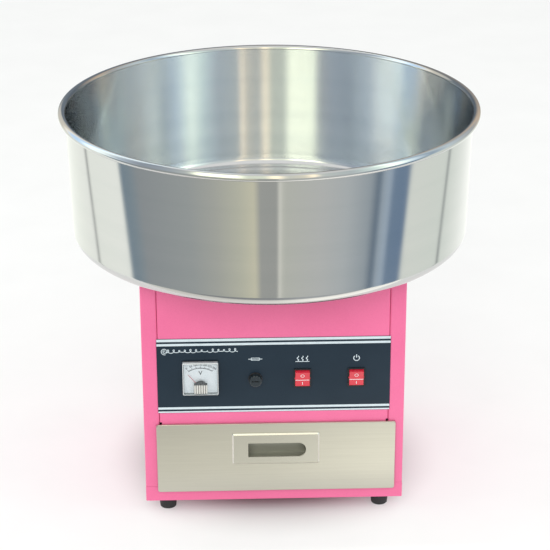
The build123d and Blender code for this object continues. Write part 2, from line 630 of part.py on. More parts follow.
with BuildPart(Plane.XY.offset(HEAD_BOTTOM + HEAD_SCREW_BOTTOM)) as head_screws:
    with PolarLocations(HEAD_SCREW_CIRCLE, 4, start_angle=45):
        Cylinder(SCREW_RADIUS, HEAD_SCREW_LENGTH, align=BOTTOM_UP)
        with Locations((0, 0, HEAD_SCREW_LENGTH)):
            Cylinder(SCREW_HEAD, SCREW_HEAD_HEIGHT, align=BOTTOM_UP)
    fillet(head_screws.edges().group_by(Axis.Z)[-1], 1.0)
save(head_screws, "head_screws")

# ---- motor: fixed parts ---------------------------------------------------------------------
CAN_SHEET = 1.5
CAN_BOTTOM = 206.0
CAN_TOP = 266.0
CAP = 6.0
AIR_GAP = 0.5
BEARING_RADIUS = 11.0
BEARING_WIDTH = 7.0
BEARING_SEAT = 15.0         # radius of the boss round a bearing
BRACKET_Z = 278.0           # underside of the bracket's bridge
CAP_SCREW_CIRCLE = 38.0
CAP_BOSS = 5.0              # how far a bearing boss stands out from its cap
CAP_VENT_CIRCLE = 27.0
CAP_VENT_RADIUS = 5.0
CAN_WINDOW_WIDTH = 18.0
CAN_WINDOW_HEIGHT = 5.0
CAN_WINDOW_INSET = 6.0
STATOR_SLOT_CIRCLE = ROTOR_RADIUS + 8
STATOR_SLOT_LENGTH = 11.0
STATOR_SLOT_WIDTH = 5.0
WINDING_HEIGHT = 8.0
WINDING_ROUNDING = 3.0

with BuildPart(Plane.XY.offset(CAN_BOTTOM)) as motor_housing:
    Cylinder(MOTOR_RADIUS, CAN_TOP - CAN_BOTTOM, align=BOTTOM_UP)
    Cylinder(MOTOR_RADIUS - CAN_SHEET, CAN_TOP - CAN_BOTTOM, align=BOTTOM_UP,
             mode=Mode.SUBTRACT)
    # cooling windows over the windings
    with PolarLocations(MOTOR_RADIUS, 8):
        with Locations((0, 0, CAN_WINDOW_INSET),
                       (0, 0, CAN_TOP - CAN_BOTTOM - CAN_WINDOW_INSET)):
            Box(4 * CAN_SHEET, CAN_WINDOW_WIDTH, CAN_WINDOW_HEIGHT, mode=Mode.SUBTRACT)
save(motor_housing, "motor_housing")

STATOR_RADIUS = MOTOR_RADIUS - CAN_SHEET
with BuildPart(Plane.XY.offset(CORE_BOTTOM)) as motor_stator:
    Cylinder(STATOR_RADIUS, CORE_TOP - CORE_BOTTOM, align=BOTTOM_UP)
    Cylinder(ROTOR_RADIUS + AIR_GAP, CORE_TOP - CORE_BOTTOM, align=BOTTOM_UP,
             mode=Mode.SUBTRACT)
    with PolarLocations(STATOR_SLOT_CIRCLE, 12):
        Box(STATOR_SLOT_LENGTH, STATOR_SLOT_WIDTH, CORE_TOP - CORE_BOTTOM, align=BOTTOM_UP,
            mode=Mode.SUBTRACT)
save(motor_stator, "motor_stator")

with BuildPart() as motor_windings:
    for height in (CORE_BOTTOM - WINDING_HEIGHT, CORE_TOP):
        with BuildSketch(Plane.XY.offset(height)):
            Circle(STATOR_RADIUS - 4)
            Circle(ROTOR_RADIUS + 2, mode=Mode.SUBTRACT)
        extrude(amount=WINDING_HEIGHT)
    fillet(motor_windings.edges().group_by(Axis.Z)[0], WINDING_ROUNDING)
    fillet(motor_windings.edges().group_by(Axis.Z)[-1], WINDING_ROUNDING)
save(motor_windings, "motor_windings")


def end_cap(bottom, boss_bottom):
    """Motor end cap with a boss that holds one bearing."""
    with BuildPart(Plane.XY.offset(bottom)) as cap:
        Cylinder(MOTOR_RADIUS, CAP, align=BOTTOM_UP)
        with Locations((0, 0, boss_bottom - bottom)):
            Cylinder(BEARING_SEAT, CAP + CAP_BOSS, align=BOTTOM_UP)
            Cylinder(BEARING_RADIUS + PRESS_GAP, CAP + CAP_BOSS, align=BOTTOM_UP,
                     mode=Mode.SUBTRACT)
        with PolarLocations(CAP_SCREW_CIRCLE, 4, start_angle=45):
            Cylinder(SCREW_HOLE, CAP, align=BOTTOM_UP, mode=Mode.SUBTRACT)
        with PolarLocations(CAP_VENT_CIRCLE, 6, start_angle=30):
            Cylinder(CAP_VENT_RADIUS, CAP, align=BOTTOM_UP, mode=Mode.SUBTRACT)
    return cap


save(end_cap(CAN_BOTTOM - CAP, CAN_BOTTOM - CAP - CAP_BOSS), "lower_end_cap")
save(end_cap(CAN_TOP, CAN_TOP), "upper_end_cap")

BEARING_BOTTOMS = (CAN_BOTTOM - CAP - 4, CAN_TOP + 3)
with BuildPart() as motor_bearings:
    for height in BEARING_BOTTOMS:
        with Locations((0, 0, height)):
            Cylinder(BEARING_RADIUS, BEARING_WIDTH, align=BOTTOM_UP)
            Cylinder(SHAFT_RADIUS + RUN_GAP, BEARING_WIDTH, align=BOTTOM_UP,
                     mode=Mode.SUBTRACT)
save(motor_bearings, "motor_bearings")

# ---- motor bracket, rubber mounts and screws --------------------------------------------------
BRACKET_SHEET = 2.0
BRACKET_HALF_DEPTH = 56.0
BRACKET_BORE = 18.0         # hole the shaft passes through
MOUNT_RADIUS = 8.0
MOUNT_HEIGHT = 10.0
MOUNT_WAIST_RADIUS = 2.4    # of the groove round a rubber mount
MOUNT_WAIST_OFFSET = 1.2    # of the groove's centre outside the mount
MOUNT_SCREW_TAIL = 7.0      # length of screw below the bracket
MOUNT_SCREW_HEAD_HEIGHT = 1.5
FOOT_PAD_HALF = 11.0
BRACKET_TOP = PANEL_TOP - MOUNT_HEIGHT
BRACKET_WALL_X = MOUNT_X - FOOT_PAD_HALF

with BuildPart() as motor_bracket:
    with BuildSketch(Plane.XZ.offset(-BRACKET_HALF_DEPTH)):
        with BuildLine():
            FilletPolyline(
                (-MOUNT_X - FOOT_PAD_HALF, BRACKET_TOP),
                (-BRACKET_WALL_X, BRACKET_TOP),
                (-BRACKET_WALL_X, BRACKET_Z + BRACKET_SHEET),
                (BRACKET_WALL_X, BRACKET_Z + BRACKET_SHEET),
                (BRACKET_WALL_X, BRACKET_TOP),
                (MOUNT_X + FOOT_PAD_HALF, BRACKET_TOP),
                radius=3.0,
            )
            offset(amount=BRACKET_SHEET, side=Side.RIGHT)
        make_face()
    extrude(amount=2 * BRACKET_HALF_DEPTH)
    with BuildSketch(Plane.XY.offset(BRACKET_Z)):
        Circle(BRACKET_BORE)
        with PolarLocations(CAP_SCREW_CIRCLE, 4, start_angle=45):
            Circle(SCREW_HOLE)
        with GridLocations(2 * MOUNT_X, 2 * MOUNT_Y, 2, 2):
            Circle(MOUNT_SCREW_RADIUS + PANEL_GAP)
    extrude(amount=BRACKET_TOP - BRACKET_Z, mode=Mode.SUBTRACT)
save(motor_bracket, "motor_bracket")

with BuildPart(Plane.XY.offset(BRACKET_TOP)) as rubber_mounts:
    with GridLocations(2 * MOUNT_X, 2 * MOUNT_Y, 2, 2):
        Cylinder(MOUNT_RADIUS, MOUNT_HEIGHT, align=BOTTOM_UP)
        with Locations((0, 0, MOUNT_HEIGHT / 2)):
            Torus(MOUNT_RADIUS + MOUNT_WAIST_OFFSET, MOUNT_WAIST_RADIUS, mode=Mode.SUBTRACT)
        Cylinder(MOUNT_SCREW_RADIUS + PANEL_GAP, MOUNT_HEIGHT, align=BOTTOM_UP,
                 mode=Mode.SUBTRACT)
save(rubber_mounts, "rubber_mounts")

with BuildPart() as mount_screws:
    with GridLocations(2 * MOUNT_X, 2 * MOUNT_Y, 2, 2):
        with Locations((0, 0, BRACKET_TOP - MOUNT_SCREW_TAIL)):
            Cylinder(MOUNT_SCREW_RADIUS, BODY_TOP - BRACKET_TOP + MOUNT_SCREW_TAIL,
                     align=BOTTOM_UP)
        with Locations((0, 0, BODY_TOP)):
            Cylinder(2 * MOUNT_SCREW_RADIUS, MOUNT_SCREW_HEAD_HEIGHT, align=BOTTOM_UP)
    # long screws that clamp the motor under the bracket
    with PolarLocations(CAP_SCREW_CIRCLE, 4, start_angle=45):
        with Locations((0, 0, CAN_TOP + 1)):
            Cylinder(SCREW_RADIUS, BRACKET_Z + BRACKET_SHEET - CAN_TOP - 1, align=BOTTOM_UP)
        with Locations((0, 0, BRACKET_Z + BRACKET_SHEET)):
            Cylinder(SCREW_HEAD, SCREW_HEAD_HEIGHT, align=BOTTOM_UP)
        # spacer tube between end cap and bracket
        with Locations((0, 0, CAN_TOP + CAP)):
            Cylinder(SCREW_HEAD, BRACKET_Z - CAN_TOP - CAP, align=BOTTOM_UP)
save(mount_screws, "mount_screws")

# ---- brush gear beside the slip rings ---------------------------------------------------------
BRUSH_GAP = 0.3             # between a brush and its ring
BRUSH_LENGTH = 13.0
BRUSH_WIDTH = 8.0
BRUSH_HEIGHT = 5.0
HOLDER_INNER_X = 16.0
HOLDER_OUTER_X = 42.0
HOLDER_HALF_WIDTH = 13.0
HOLDER_TOP = 194.0
BRUSH_TIP_X = RING_RADIUS + BRUSH_GAP
BRUSH_BACK_X = BRUSH_TIP_X + BRUSH_LENGTH
SPRING_RADIUS = 1.9
SPRING_WIRE = 0.6
BRUSH_PLAY = 0.2
HOLDER_BACK_WALL = 4.0
HOLDER_CENTRE_X = (HOLDER_INNER_X + HOLDER_OUTER_X) / 2
HOLDER_WINDOW_Z = SHELF_TOP + 16
HOLDER_WINDOW_WIDTH = 14.0
HOLDER_WINDOW_HEIGHT = 18.0

with BuildPart() as brush_holder:
    with BuildSketch(Plane.XY.offset(SHELF_TOP)):
        with Locations((HOLDER_CENTRE_X, 0)):
            RectangleRounded(HOLDER_OUTER_X - HOLDER_INNER_X, 2 * HOLDER_HALF_WIDTH, 2)
    extrude(amount=HOLDER_TOP - SHELF_TOP)
    with BuildSketch(Plane.YZ.offset(HOLDER_INNER_X)):
        with Locations(*[(0, height) for height in RING_CENTRES]):
            Rectangle(BRUSH_WIDTH + BRUSH_PLAY, BRUSH_HEIGHT + BRUSH_PLAY)
    extrude(amount=HOLDER_OUTER_X - HOLDER_INNER_X - HOLDER_BACK_WALL, mode=Mode.SUBTRACT)
    # weight-saving window under the brushes
    with BuildSketch(Plane.XZ.offset(HOLDER_HALF_WIDTH)):
        with Locations((HOLDER_CENTRE_X, HOLDER_WINDOW_Z)):
            RectangleRounded(HOLDER_WINDOW_WIDTH, HOLDER_WINDOW_HEIGHT, 2)
    extrude(amount=-2 * HOLDER_HALF_WIDTH, mode=Mode.SUBTRACT)
save(brush_holder, "brush_holder")

with BuildPart() as carbon_brushes:
    with Locations(*[((BRUSH_TIP_X + BRUSH_BACK_X) / 2, 0, height) for height in RING_CENTRES]):
        Box(BRUSH_LENGTH, BRUSH_WIDTH, BRUSH_HEIGHT)
save(carbon_brushes, "carbon_brushes")

with BuildPart() as brush_springs:
    for height in RING_CENTRES:
        with BuildSketch(Plane.YZ.offset(BRUSH_BACK_X)):
            with Locations((0, height)):
                Circle(SPRING_RADIUS)
                Circle(SPRING_RADIUS - SPRING_WIRE, mode=Mode.SUBTRACT)
        extrude(amount=HOLDER_OUTER_X - HOLDER_BACK_WALL - BRUSH_BACK_X)
save(brush_springs, "brush_springs")

# ---- rocker switches --------------------------------------------------------------------------
BEZEL_WIDTH = 21.4
BEZEL_HEIGHT = 24.8
BEZEL_THICKNESS = 1.8
CAVITY_WIDTH = 18.2
ROCKER_RADIUS = 10.6        # of the rocker's rounded ends about its pivot
ROCKER_GAP = 0.3
ROCKER_WIDTH = 17.6
PIVOT_OUT = 151.0           # distance of the pivot in front of the cabinet's centre plane
PIN_RADIUS = 1.5
SWITCH_DEPTH = 20.0
BEZEL_FACE = OVERLAY_FACE + BEZEL_THICKNESS
# the rocker's outline, outward and upward from its pivot, with its lower end pressed in
ROCKER_LOW_OUT = 1.8
ROCKER_CREASE_OUT = 2.1
ROCKER_CREASE_UP = -2.0
ROCKER_HIGH_OUT = 5.4
ROCKER_BACK = 5.0
BEZEL_CORNER = 1.5
CAVITY_DEPTH = 14.0
TAB_BLADE_WIDTH = 6.3       # push-on terminal blades
TAB_BLADE_SHEET = 0.8
TAB_BLADE_LENGTH = 9.0
TAB_BLADE_PITCH = 12.0


def switch_body(centre_x):
    """Switch housing: bezel, box behind the panel, cavity for the rocker, pivot holes."""
    with BuildPart() as body:
        with BuildSketch(Plane.XZ.offset(OVERLAY_FACE)):
            with Locations((centre_x, SWITCH_Z)):
                RectangleRounded(BEZEL_WIDTH, BEZEL_HEIGHT, BEZEL_CORNER)
        extrude(amount=BEZEL_THICKNESS)
        with BuildSketch(Plane.XZ.offset(OVERLAY_FACE)):
            with Locations((centre_x, SWITCH_Z)):
                Rectangle(SWITCH_BODY_WIDTH, SWITCH_BODY_HEIGHT)
        extrude(amount=-SWITCH_DEPTH)
        with BuildSketch(Plane.XZ.offset(BEZEL_FACE)):
            with Locations((centre_x, SWITCH_Z)):
                Rectangle(CAVITY_WIDTH, 2 * (ROCKER_RADIUS + ROCKER_GAP))
        extrude(amount=-CAVITY_DEPTH, mode=Mode.SUBTRACT)
        with BuildSketch(Plane.YZ.offset(centre_x - SWITCH_BODY_WIDTH / 2)):
            with Locations((-PIVOT_OUT, SWITCH_Z)):
                Circle(PIN_RADIUS + RUN_GAP)
        extrude(amount=SWITCH_BODY_WIDTH, mode=Mode.SUBTRACT)
    return body


def rocker(centre_x):
    """Rocker with rounded ends, two faces that meet in a crease, and pivot pins."""
    low = (-ROCKER_LOW_OUT, -sqrt(ROCKER_RADIUS**2 - ROCKER_LOW_OUT**2))
    high = (-ROCKER_HIGH_OUT, sqrt(ROCKER_RADIUS**2 - ROCKER_HIGH_OUT**2))
    back_up = sqrt(ROCKER_RADIUS**2 - ROCKER_BACK**2)
    pivot = Plane((centre_x, -PIVOT_OUT, SWITCH_Z), x_dir=(0, 1, 0), z_dir=(1, 0, 0))
    with BuildPart() as moving:
        with BuildSketch(pivot):
            with BuildLine():
                Polyline(low, (-ROCKER_CREASE_OUT, ROCKER_CREASE_UP), high)
                ThreePointArc(high, (0, ROCKER_RADIUS), (ROCKER_BACK, back_up))
                Line((ROCKER_BACK, back_up), (ROCKER_BACK, -back_up))
                ThreePointArc((ROCKER_BACK, -back_up), (0, -ROCKER_RADIUS), low)
            make_face()
        extrude(amount=ROCKER_WIDTH / 2, both=True)
        with BuildSketch(pivot):
            Circle(PIN_RADIUS)
        extrude(amount=SWITCH_BODY_WIDTH / 2 - PANEL_GAP, both=True)
    return moving


for name, centre_x in (("heat", HEAT_X), ("power", POWER_X)):
    save(switch_body(centre_x), f"{name}_switch_body")
    save(rocker(centre_x), f"{name}_rocker")

with BuildPart() as switch_terminals:
    with BuildSketch(Plane.XZ.offset(OVERLAY_FACE - SWITCH_DEPTH)):
        with Locations((HEAT_X, SWITCH_Z), (POWER_X, SWITCH_Z)):
            with GridLocations(0, TAB_BLADE_PITCH, 1, 2):
                Rectangle(TAB_BLADE_WIDTH, TAB_BLADE_SHEET)
    extrude(amount=-TAB_BLADE_LENGTH)
save(switch_terminals, "switch_terminals")

# ---- voltmeter --------------------------------------------------------------------------------
METER_BASE = 2.6            # thickness of the case's square flange
METER_PROUD = 8.0           # how far the cover stands out from the control plate
METER_BACK = 126.0          # rear end of the barrel, from the cabinet's centre plane
METER_WALL = 1.2
DIAL = 0.4
METER_PIVOT_Z = 177.0
NEEDLE_LENGTH = 23.5
NEEDLE_REST = 40.0          # degrees left of upright at zero
NEEDLE_PLANE = OVERLAY_FACE + METER_BASE + 2.2
HUB_ARCH_RADIUS = 8.2
HUB_ARCH_HEIGHT = 14.5      # of the arch's straight-sided part
HUB_ARCH_DROP = 5.0         # of the round part's centre below that part's top
HUB_ARCH_SHEET = 0.8
METER_CORNER = 1.5
METER_BEVEL = 0.8
METER_PLAY = 0.3            # round the dial inside the cover
STAFF_RADIUS = 0.75         # pin the needle turns on
STAFF_LENGTH = 7.0
STAFF_SOCKET = 6.0
STUD_FRONT = 9.0            # front end of the fixing studs, inside the cabinet's face
STUD_LENGTH = 10.0
DIAL_BORE = 1.6
NEEDLE_BOSS_RADIUS = 1.3
NEEDLE_WIDTH = 0.5
NEEDLE_SHEET = 0.4
TAIL_WIDTH = 1.4
TAIL_LENGTH = 4.2
TAIL_CENTRE = -2.6

with BuildPart() as voltmeter_case:
    with BuildSketch(Plane.XZ.offset(OVERLAY_FACE)):
        with Locations((METER_X, METER_Z)):
            RectangleRounded(METER_SIDE, METER_SIDE, METER_CORNER)
    extrude(amount=METER_BASE)
    with BuildSketch(Plane.XZ.offset(METER_BACK)):
        with Locations((METER_X, METER_Z)):
            Circle(METER_BARREL_RADIUS)
    extrude(amount=OVERLAY_FACE - METER_BACK)
    with BuildSketch(Plane.XZ.offset(HALF_DEPTH - STUD_FRONT)):
        with Locations((METER_X, METER_Z)):
            with GridLocations(2 * METER_STUD_X, 2 * METER_STUD_Z, 2, 2):
                Circle(METER_STUD_RADIUS)
    extrude(amount=STUD_LENGTH)
    # socket for the needle's staff
    with BuildSketch(Plane.XZ.offset(OVERLAY_FACE + METER_BASE)):
        with Locations((METER_X, METER_PIVOT_Z)):
            Circle(STAFF_RADIUS + RUN_GAP)
    extrude(amount=-STAFF_SOCKET, mode=Mode.SUBTRACT)
save(voltmeter_case, "voltmeter_case")

with BuildPart() as voltmeter_dial:
    with BuildSketch(Plane.XZ.offset(OVERLAY_FACE + METER_BASE)):
        with Locations((METER_X, METER_Z)):
            Rectangle(METER_SIDE - 2 * (METER_WALL + METER_PLAY),
                      METER_SIDE - 2 * (METER_WALL + METER_PLAY))
        with Locations((METER_X, METER_PIVOT_Z)):
            Circle(DIAL_BORE, mode=Mode.SUBTRACT)
    extrude(amount=DIAL)
save(voltmeter_dial, "voltmeter_dial")

with BuildPart() as voltmeter_cover:
    with BuildSketch(Plane.XZ.offset(OVERLAY_FACE + METER_BASE)):
        with Locations((METER_X, METER_Z)):
            RectangleRounded(METER_SIDE, METER_SIDE, METER_CORNER)
    extrude(amount=METER_PROUD - METER_BASE)
    chamfer(voltmeter_cover.edges().group_by(Axis.Y)[0], METER_BEVEL)
    with BuildSketch(Plane.XZ.offset(OVERLAY_FACE + METER_BASE)):
        with Locations((METER_X, METER_Z)):
            Rectangle(METER_SIDE - 2 * METER_WALL, METER_SIDE - 2 * METER_WALL)
    extrude(amount=METER_PROUD - METER_BASE - METER_WALL, mode=Mode.SUBTRACT)
save(voltmeter_cover, "voltmeter_cover")

with BuildPart() as voltmeter_hub:
    with BuildSketch(Plane.XZ.offset(NEEDLE_PLANE + 2 * NEEDLE_SHEET)):
        with Locations((METER_X, METER_Z - METER_SIDE / 2 + METER_WALL + METER_PLAY)):
            Rectangle(2 * HUB_ARCH_RADIUS, HUB_ARCH_HEIGHT, align=(Align.CENTER, Align.MIN))
            with Locations((0, HUB_ARCH_HEIGHT - HUB_ARCH_DROP)):
                Circle(HUB_ARCH_RADIUS)
    extrude(amount=HUB_ARCH_SHEET)
save(voltmeter_hub, "voltmeter_hub")

with BuildPart() as voltmeter_needle:
    needle_plane = Plane((METER_X, -NEEDLE_PLANE, METER_PIVOT_Z), z_dir=(0, -1, 0),
                         x_dir=(cos(radians(NEEDLE_REST)), 0, sin(radians(NEEDLE_REST))))
    with BuildSketch(needle_plane):
        Circle(NEEDLE_BOSS_RADIUS)
        with Locations((0, NEEDLE_LENGTH / 2)):
            Rectangle(NEEDLE_WIDTH, NEEDLE_LENGTH)
        with Locations((0, TAIL_CENTRE)):
            Rectangle(TAIL_WIDTH, TAIL_LENGTH)
    extrude(amount=NEEDLE_SHEET)
    with BuildSketch(needle_plane):
        Circle(STAFF_RADIUS)
    extrude(amount=-STAFF_LENGTH)
save(voltmeter_needle, "voltmeter_needle")

# ---- fuse -------------------------------------------------------------------------------------
FUSE_FLANGE_RADIUS = 8.6
FUSE_FLANGE = 1.2
FUSE_BORE = 4.7
FUSE_BACK = 116.0           # rear end of the holder, from the cabinet's centre plane
CAP_RADIUS = 7.6
CAP_HEIGHT = 7.0
CAP_GAP = 0.3
CAP_PLUG_RADIUS = 4.3
LINK_RADIUS = 2.6
LINK_FRONT = OVERLAY_FACE - 5.0
CAP_BACK = OVERLAY_FACE + FUSE_FLANGE + CAP_GAP
CAP_ROUNDING = 1.2
CAP_GROOVES = 12
CAP_GROOVE_RADIUS = 0.7
CAP_SLOT_LENGTH = 9.5
CAP_SLOT_WIDTH = 1.4
CAP_SLOT_DEPTH = 1.5
LINK_LENGTH = 20.0
FUSE_END_WALL = 3.0
FUSE_NUT_RADIUS = 9.5
FUSE_NUT_HEIGHT = 3.0
FUSE_TAB_WIDTH = 5.0
FUSE_TAB_SHEET = 0.8
FUSE_TAB_LENGTH = 8.0
THREAD_BITE = 0.5           # how far a nut's bore lies inside its thread

with BuildPart() as fuse_holder:
    with BuildSketch(Plane.XZ.offset(OVERLAY_FACE)):
        with Locations((FUSE_X, FUSE_Z)):
            Circle(FUSE_FLANGE_RADIUS)
    extrude(amount=FUSE_FLANGE)
    with BuildSketch(Plane.XZ.offset(FUSE_BACK)):
        with Locations((FUSE_X, FUSE_Z)):
            Circle(FUSE_BODY_RADIUS)
    extrude(amount=OVERLAY_FACE - FUSE_BACK)
    with BuildSketch(Plane.XZ.offset(OVERLAY_FACE + FUSE_FLANGE)):
        with Locations((FUSE_X, FUSE_Z)):
            Circle(FUSE_BORE)
    extrude(amount=-(OVERLAY_FACE + FUSE_FLANGE - FUSE_BACK - FUSE_END_WALL),
            mode=Mode.SUBTRACT)
    # clamping nut behind the panel and the rear tab
    with BuildSketch(Plane.XZ.offset(HALF_DEPTH - SHEET)):
        with Locations((FUSE_X, FUSE_Z)):
            RegularPolygon(radius=FUSE_NUT_RADIUS, side_count=6)
            Circle(FUSE_BODY_RADIUS - THREAD_BITE, mode=Mode.SUBTRACT)
    extrude(amount=-FUSE_NUT_HEIGHT)
    with BuildSketch(Plane.XZ.offset(FUSE_BACK)):
        with Locations((FUSE_X, FUSE_Z)):
            Rectangle(FUSE_TAB_WIDTH, FUSE_TAB_SHEET)
    extrude(amount=-FUSE_TAB_LENGTH)
save(fuse_holder, "fuse_holder")

with BuildPart() as fuse_cap:
    with BuildSketch(Plane.XZ.offset(CAP_BACK)):
        with Locations((FUSE_X, FUSE_Z)):
            Circle(CAP_RADIUS)
    extrude(amount=CAP_HEIGHT)
    fillet(fuse_cap.edges().group_by(Axis.Y)[0], CAP_ROUNDING)
    # finger grooves and the screwdriver slot
    for groove in range(CAP_GROOVES):
        turn = radians(groove * 360 / CAP_GROOVES)
        with BuildSketch(Plane.XZ.offset(CAP_BACK)):
            with Locations((FUSE_X + CAP_RADIUS * cos(turn), FUSE_Z + CAP_RADIUS * sin(turn))):
                Circle(CAP_GROOVE_RADIUS)
        extrude(amount=CAP_HEIGHT, mode=Mode.SUBTRACT)
    with BuildSketch(Plane.XZ.offset(CAP_BACK + CAP_HEIGHT)):
        with Locations((FUSE_X, FUSE_Z)):
            Rectangle(CAP_SLOT_LENGTH, CAP_SLOT_WIDTH)
    extrude(amount=-CAP_SLOT_DEPTH, mode=Mode.SUBTRACT)
    with BuildSketch(Plane.XZ.offset(CAP_BACK)):
        with Locations((FUSE_X, FUSE_Z)):
            Circle(CAP_PLUG_RADIUS)
    extrude(amount=-(CAP_BACK - LINK_FRONT))
save(fuse_cap, "fuse_cap")

with BuildPart() as fuse_link:
    with BuildSketch(Plane.XZ.offset(LINK_FRONT - CAP_GAP)):
        with Locations((FUSE_X, FUSE_Z)):
            Circle(LINK_RADIUS)
    extrude(amount=-LINK_LENGTH)
save(fuse_link, "fuse_link")

# ---- terminal block and cord gland --------------------------------------------------------------
BLOCK_X = -92.0
BLOCK_Y = 96.0
BLOCK_LENGTH = 66.0
BLOCK_DEPTH = 22.0
BLOCK_HEIGHT = 15.0
POLE_COUNT = 5
POLE_PITCH = 12.0
POLE_WELL_PITCH = 11.0
POLE_WELL_RADIUS = 2.6
POLE_WELL_DEPTH = 9.0
WIRE_BORE = 2.0
WIRE_BORE_Z = SHELF_TOP + 4

with BuildPart() as terminal_block:
    with BuildSketch(Plane.XY.offset(SHELF_TOP)):
        with Locations((BLOCK_X, BLOCK_Y)):
            RectangleRounded(BLOCK_LENGTH, BLOCK_DEPTH, 2)
    extrude(amount=BLOCK_HEIGHT)
    with BuildSketch(Plane.XY.offset(SHELF_TOP + BLOCK_HEIGHT)):
        with Locations((BLOCK_X, BLOCK_Y)):
            with GridLocations(POLE_PITCH, POLE_WELL_PITCH, POLE_COUNT, 2):
                Circle(POLE_WELL_RADIUS)
    extrude(amount=-POLE_WELL_DEPTH, mode=Mode.SUBTRACT)
    with BuildSketch(Plane.XZ.offset(-BLOCK_Y - BLOCK_DEPTH / 2)):
        with Locations((BLOCK_X, WIRE_BORE_Z)):
            with GridLocations(POLE_PITCH, 0, POLE_COUNT, 1):
                Circle(WIRE_BORE)
    extrude(amount=BLOCK_DEPTH, mode=Mode.SUBTRACT)
save(terminal_block, "terminal_block")

GLAND_BORE = 4.0
GLAND_HEX_RADIUS = 13.0
GLAND_HEX_HEIGHT = 5.0
GLAND_STEM = 14.0           # threaded length behind the cover's face
GLAND_DOME_RADIUS = 10.5
GLAND_DOME_HEIGHT = 9.0
GLAND_DOME_TAPER = 12       # degrees
GLAND_NUT_RADIUS = 12.0
GLAND_NUT_HEIGHT = 4.5
GLAND_OUTER = 20.0          # clear of the gland's outer end
with BuildPart() as cord_gland:
    with BuildSketch(BACK):
        with Locations((GLAND_X, GLAND_Z)):
            RegularPolygon(radius=GLAND_HEX_RADIUS, side_count=6)
    extrude(amount=-GLAND_HEX_HEIGHT)
    with BuildSketch(BACK):
        with Locations((GLAND_X, GLAND_Z)):
            Circle(GLAND_RADIUS)
    extrude(amount=GLAND_STEM)
    with BuildSketch(Plane.XZ.offset(-HALF_DEPTH - GLAND_HEX_HEIGHT)):
        with Locations((GLAND_X, GLAND_Z)):
            Circle(GLAND_DOME_RADIUS)
    extrude(amount=-GLAND_DOME_HEIGHT, taper=GLAND_DOME_TAPER)
    with BuildSketch(Plane.XZ.offset(-PAN_HALF_DEPTH)):
        with Locations((GLAND_X, GLAND_Z)):
            RegularPolygon(radius=GLAND_NUT_RADIUS, side_count=6)
            Circle(GLAND_RADIUS - THREAD_BITE, mode=Mode.SUBTRACT)
    extrude(amount=GLAND_NUT_HEIGHT)
    with BuildSketch(Plane.XZ.offset(-HALF_DEPTH - GLAND_OUTER)):
        with Locations((GLAND_X, GLAND_Z)):
            Circle(GLAND_BORE)
    extrude(amount=2 * GLAND_OUTER, mode=Mode.SUBTRACT)
save(cord_gland, "cord_gland")

# ---- cabinet screws -----------------------------------------------------------------------------
SCREW_LENGTH = 8.0
with BuildPart() as cabinet_screws:
    for side in (-1, 1):
        for y in (-SIDE_SCREW_Y, SIDE_SCREW_Y):
            for z in (SIDE_SCREW_Z, TOP_SCREW_Z):
                with Locations(Plane((side * HALF_WIDTH, y, z), z_dir=(side, 0, 0))):
                    Cylinder(SCREW_HEAD, SCREW_HEAD_HEIGHT, align=BOTTOM_UP)
                with Locations(Plane((side * HALF_WIDTH, y, z), z_dir=(-side, 0, 0))):
                    Cylinder(SCREW_RADIUS, SCREW_LENGTH, align=BOTTOM_UP)
        for z in (REAR_SCREW_LOW, TOP_SCREW_Z):
            with Locations(Plane((side * REAR_SCREW_X, HALF_DEPTH, z), z_dir=(0, 1, 0))):
                Cylinder(SCREW_HEAD, SCREW_HEAD_HEIGHT, align=BOTTOM_UP)
            with Locations(Plane((side * REAR_SCREW_X, HALF_DEPTH, z), z_dir=(0, -1, 0))):
                Cylinder(SCREW_RADIUS, SCREW_LENGTH, align=BOTTOM_UP)
save(cabinet_screws, "cabinet_screws")

# ---- drawer ---------------------------------------------------------------------------------------
DRAWER_LEFT = -145.3
DRAWER_RIGHT = 150.3
DRAWER_BOTTOM = 32.0
DRAWER_TOP = 126.0
DRAWER_FACE = 154.2         # front of the drawer, from the cabinet's centre plane
DRAWER_BACK = HALF_DEPTH + SEAM
TRAY_HALF_WIDTH = 132.0
TRAY_BOTTOM = 46.0
TRAY_RIM_X = 139.4
TRAY_RIM_TOP = 112.7
TRAY_REAR = 82.0
PULL_LEFT = -52.0
PULL_RIGHT = 56.0
PULL_BOTTOM = 70.0
PULL_TOP = 113.0
PULL_PROUD = 2.6
SLOT_LEFT = -32.2
SLOT_RIGHT = 39.4
SLOT_BOTTOM = 81.0
SLOT_TOP = 100.0
CUP_DEPTH = 16.0            # of the finger recess, behind the drawer's face
CUP_WALL = 1.4
DRAWER_CENTRE_X = (DRAWER_LEFT + DRAWER_RIGHT) / 2
DRAWER_CENTRE_Z = (DRAWER_BOTTOM + DRAWER_TOP) / 2
PULL_CENTRE = ((PULL_LEFT + PULL_RIGHT) / 2, (PULL_BOTTOM + PULL_TOP) / 2)
CUP_LEFT = SLOT_LEFT - 3.0
CUP_RIGHT = SLOT_RIGHT + 3.0
CUP_BOTTOM = SLOT_BOTTOM - 2.5
CUP_TOP = SLOT_TOP + 6.0
CUP_CENTRE = ((CUP_LEFT + CUP_RIGHT) / 2, (CUP_BOTTOM + CUP_TOP) / 2)
CUP_WIDTH = CUP_RIGHT - CUP_LEFT + 2 * CUP_WALL
CUP_HEIGHT = CUP_TOP - CUP_BOTTOM + 2 * CUP_WALL
TRAY_FRONT = DRAWER_FACE - SHEET
PULL_STUD_X = 48.5
PULL_STUD_RADIUS = 1.9
PULL_STUD_LENGTH = 8.0
PULL_NUT_RADIUS = 4.0
PULL_NUT_HEIGHT = 3.2
PULL_CORNER = 2.5
PULL_BEVEL = 2.0
CUP_PLAY = 0.2              # round the cup in the drawer's face
DRAWER_CORNER = 3.0
DRAWER_ROUNDING = 1.0
TRAY_CORNER = 3.0
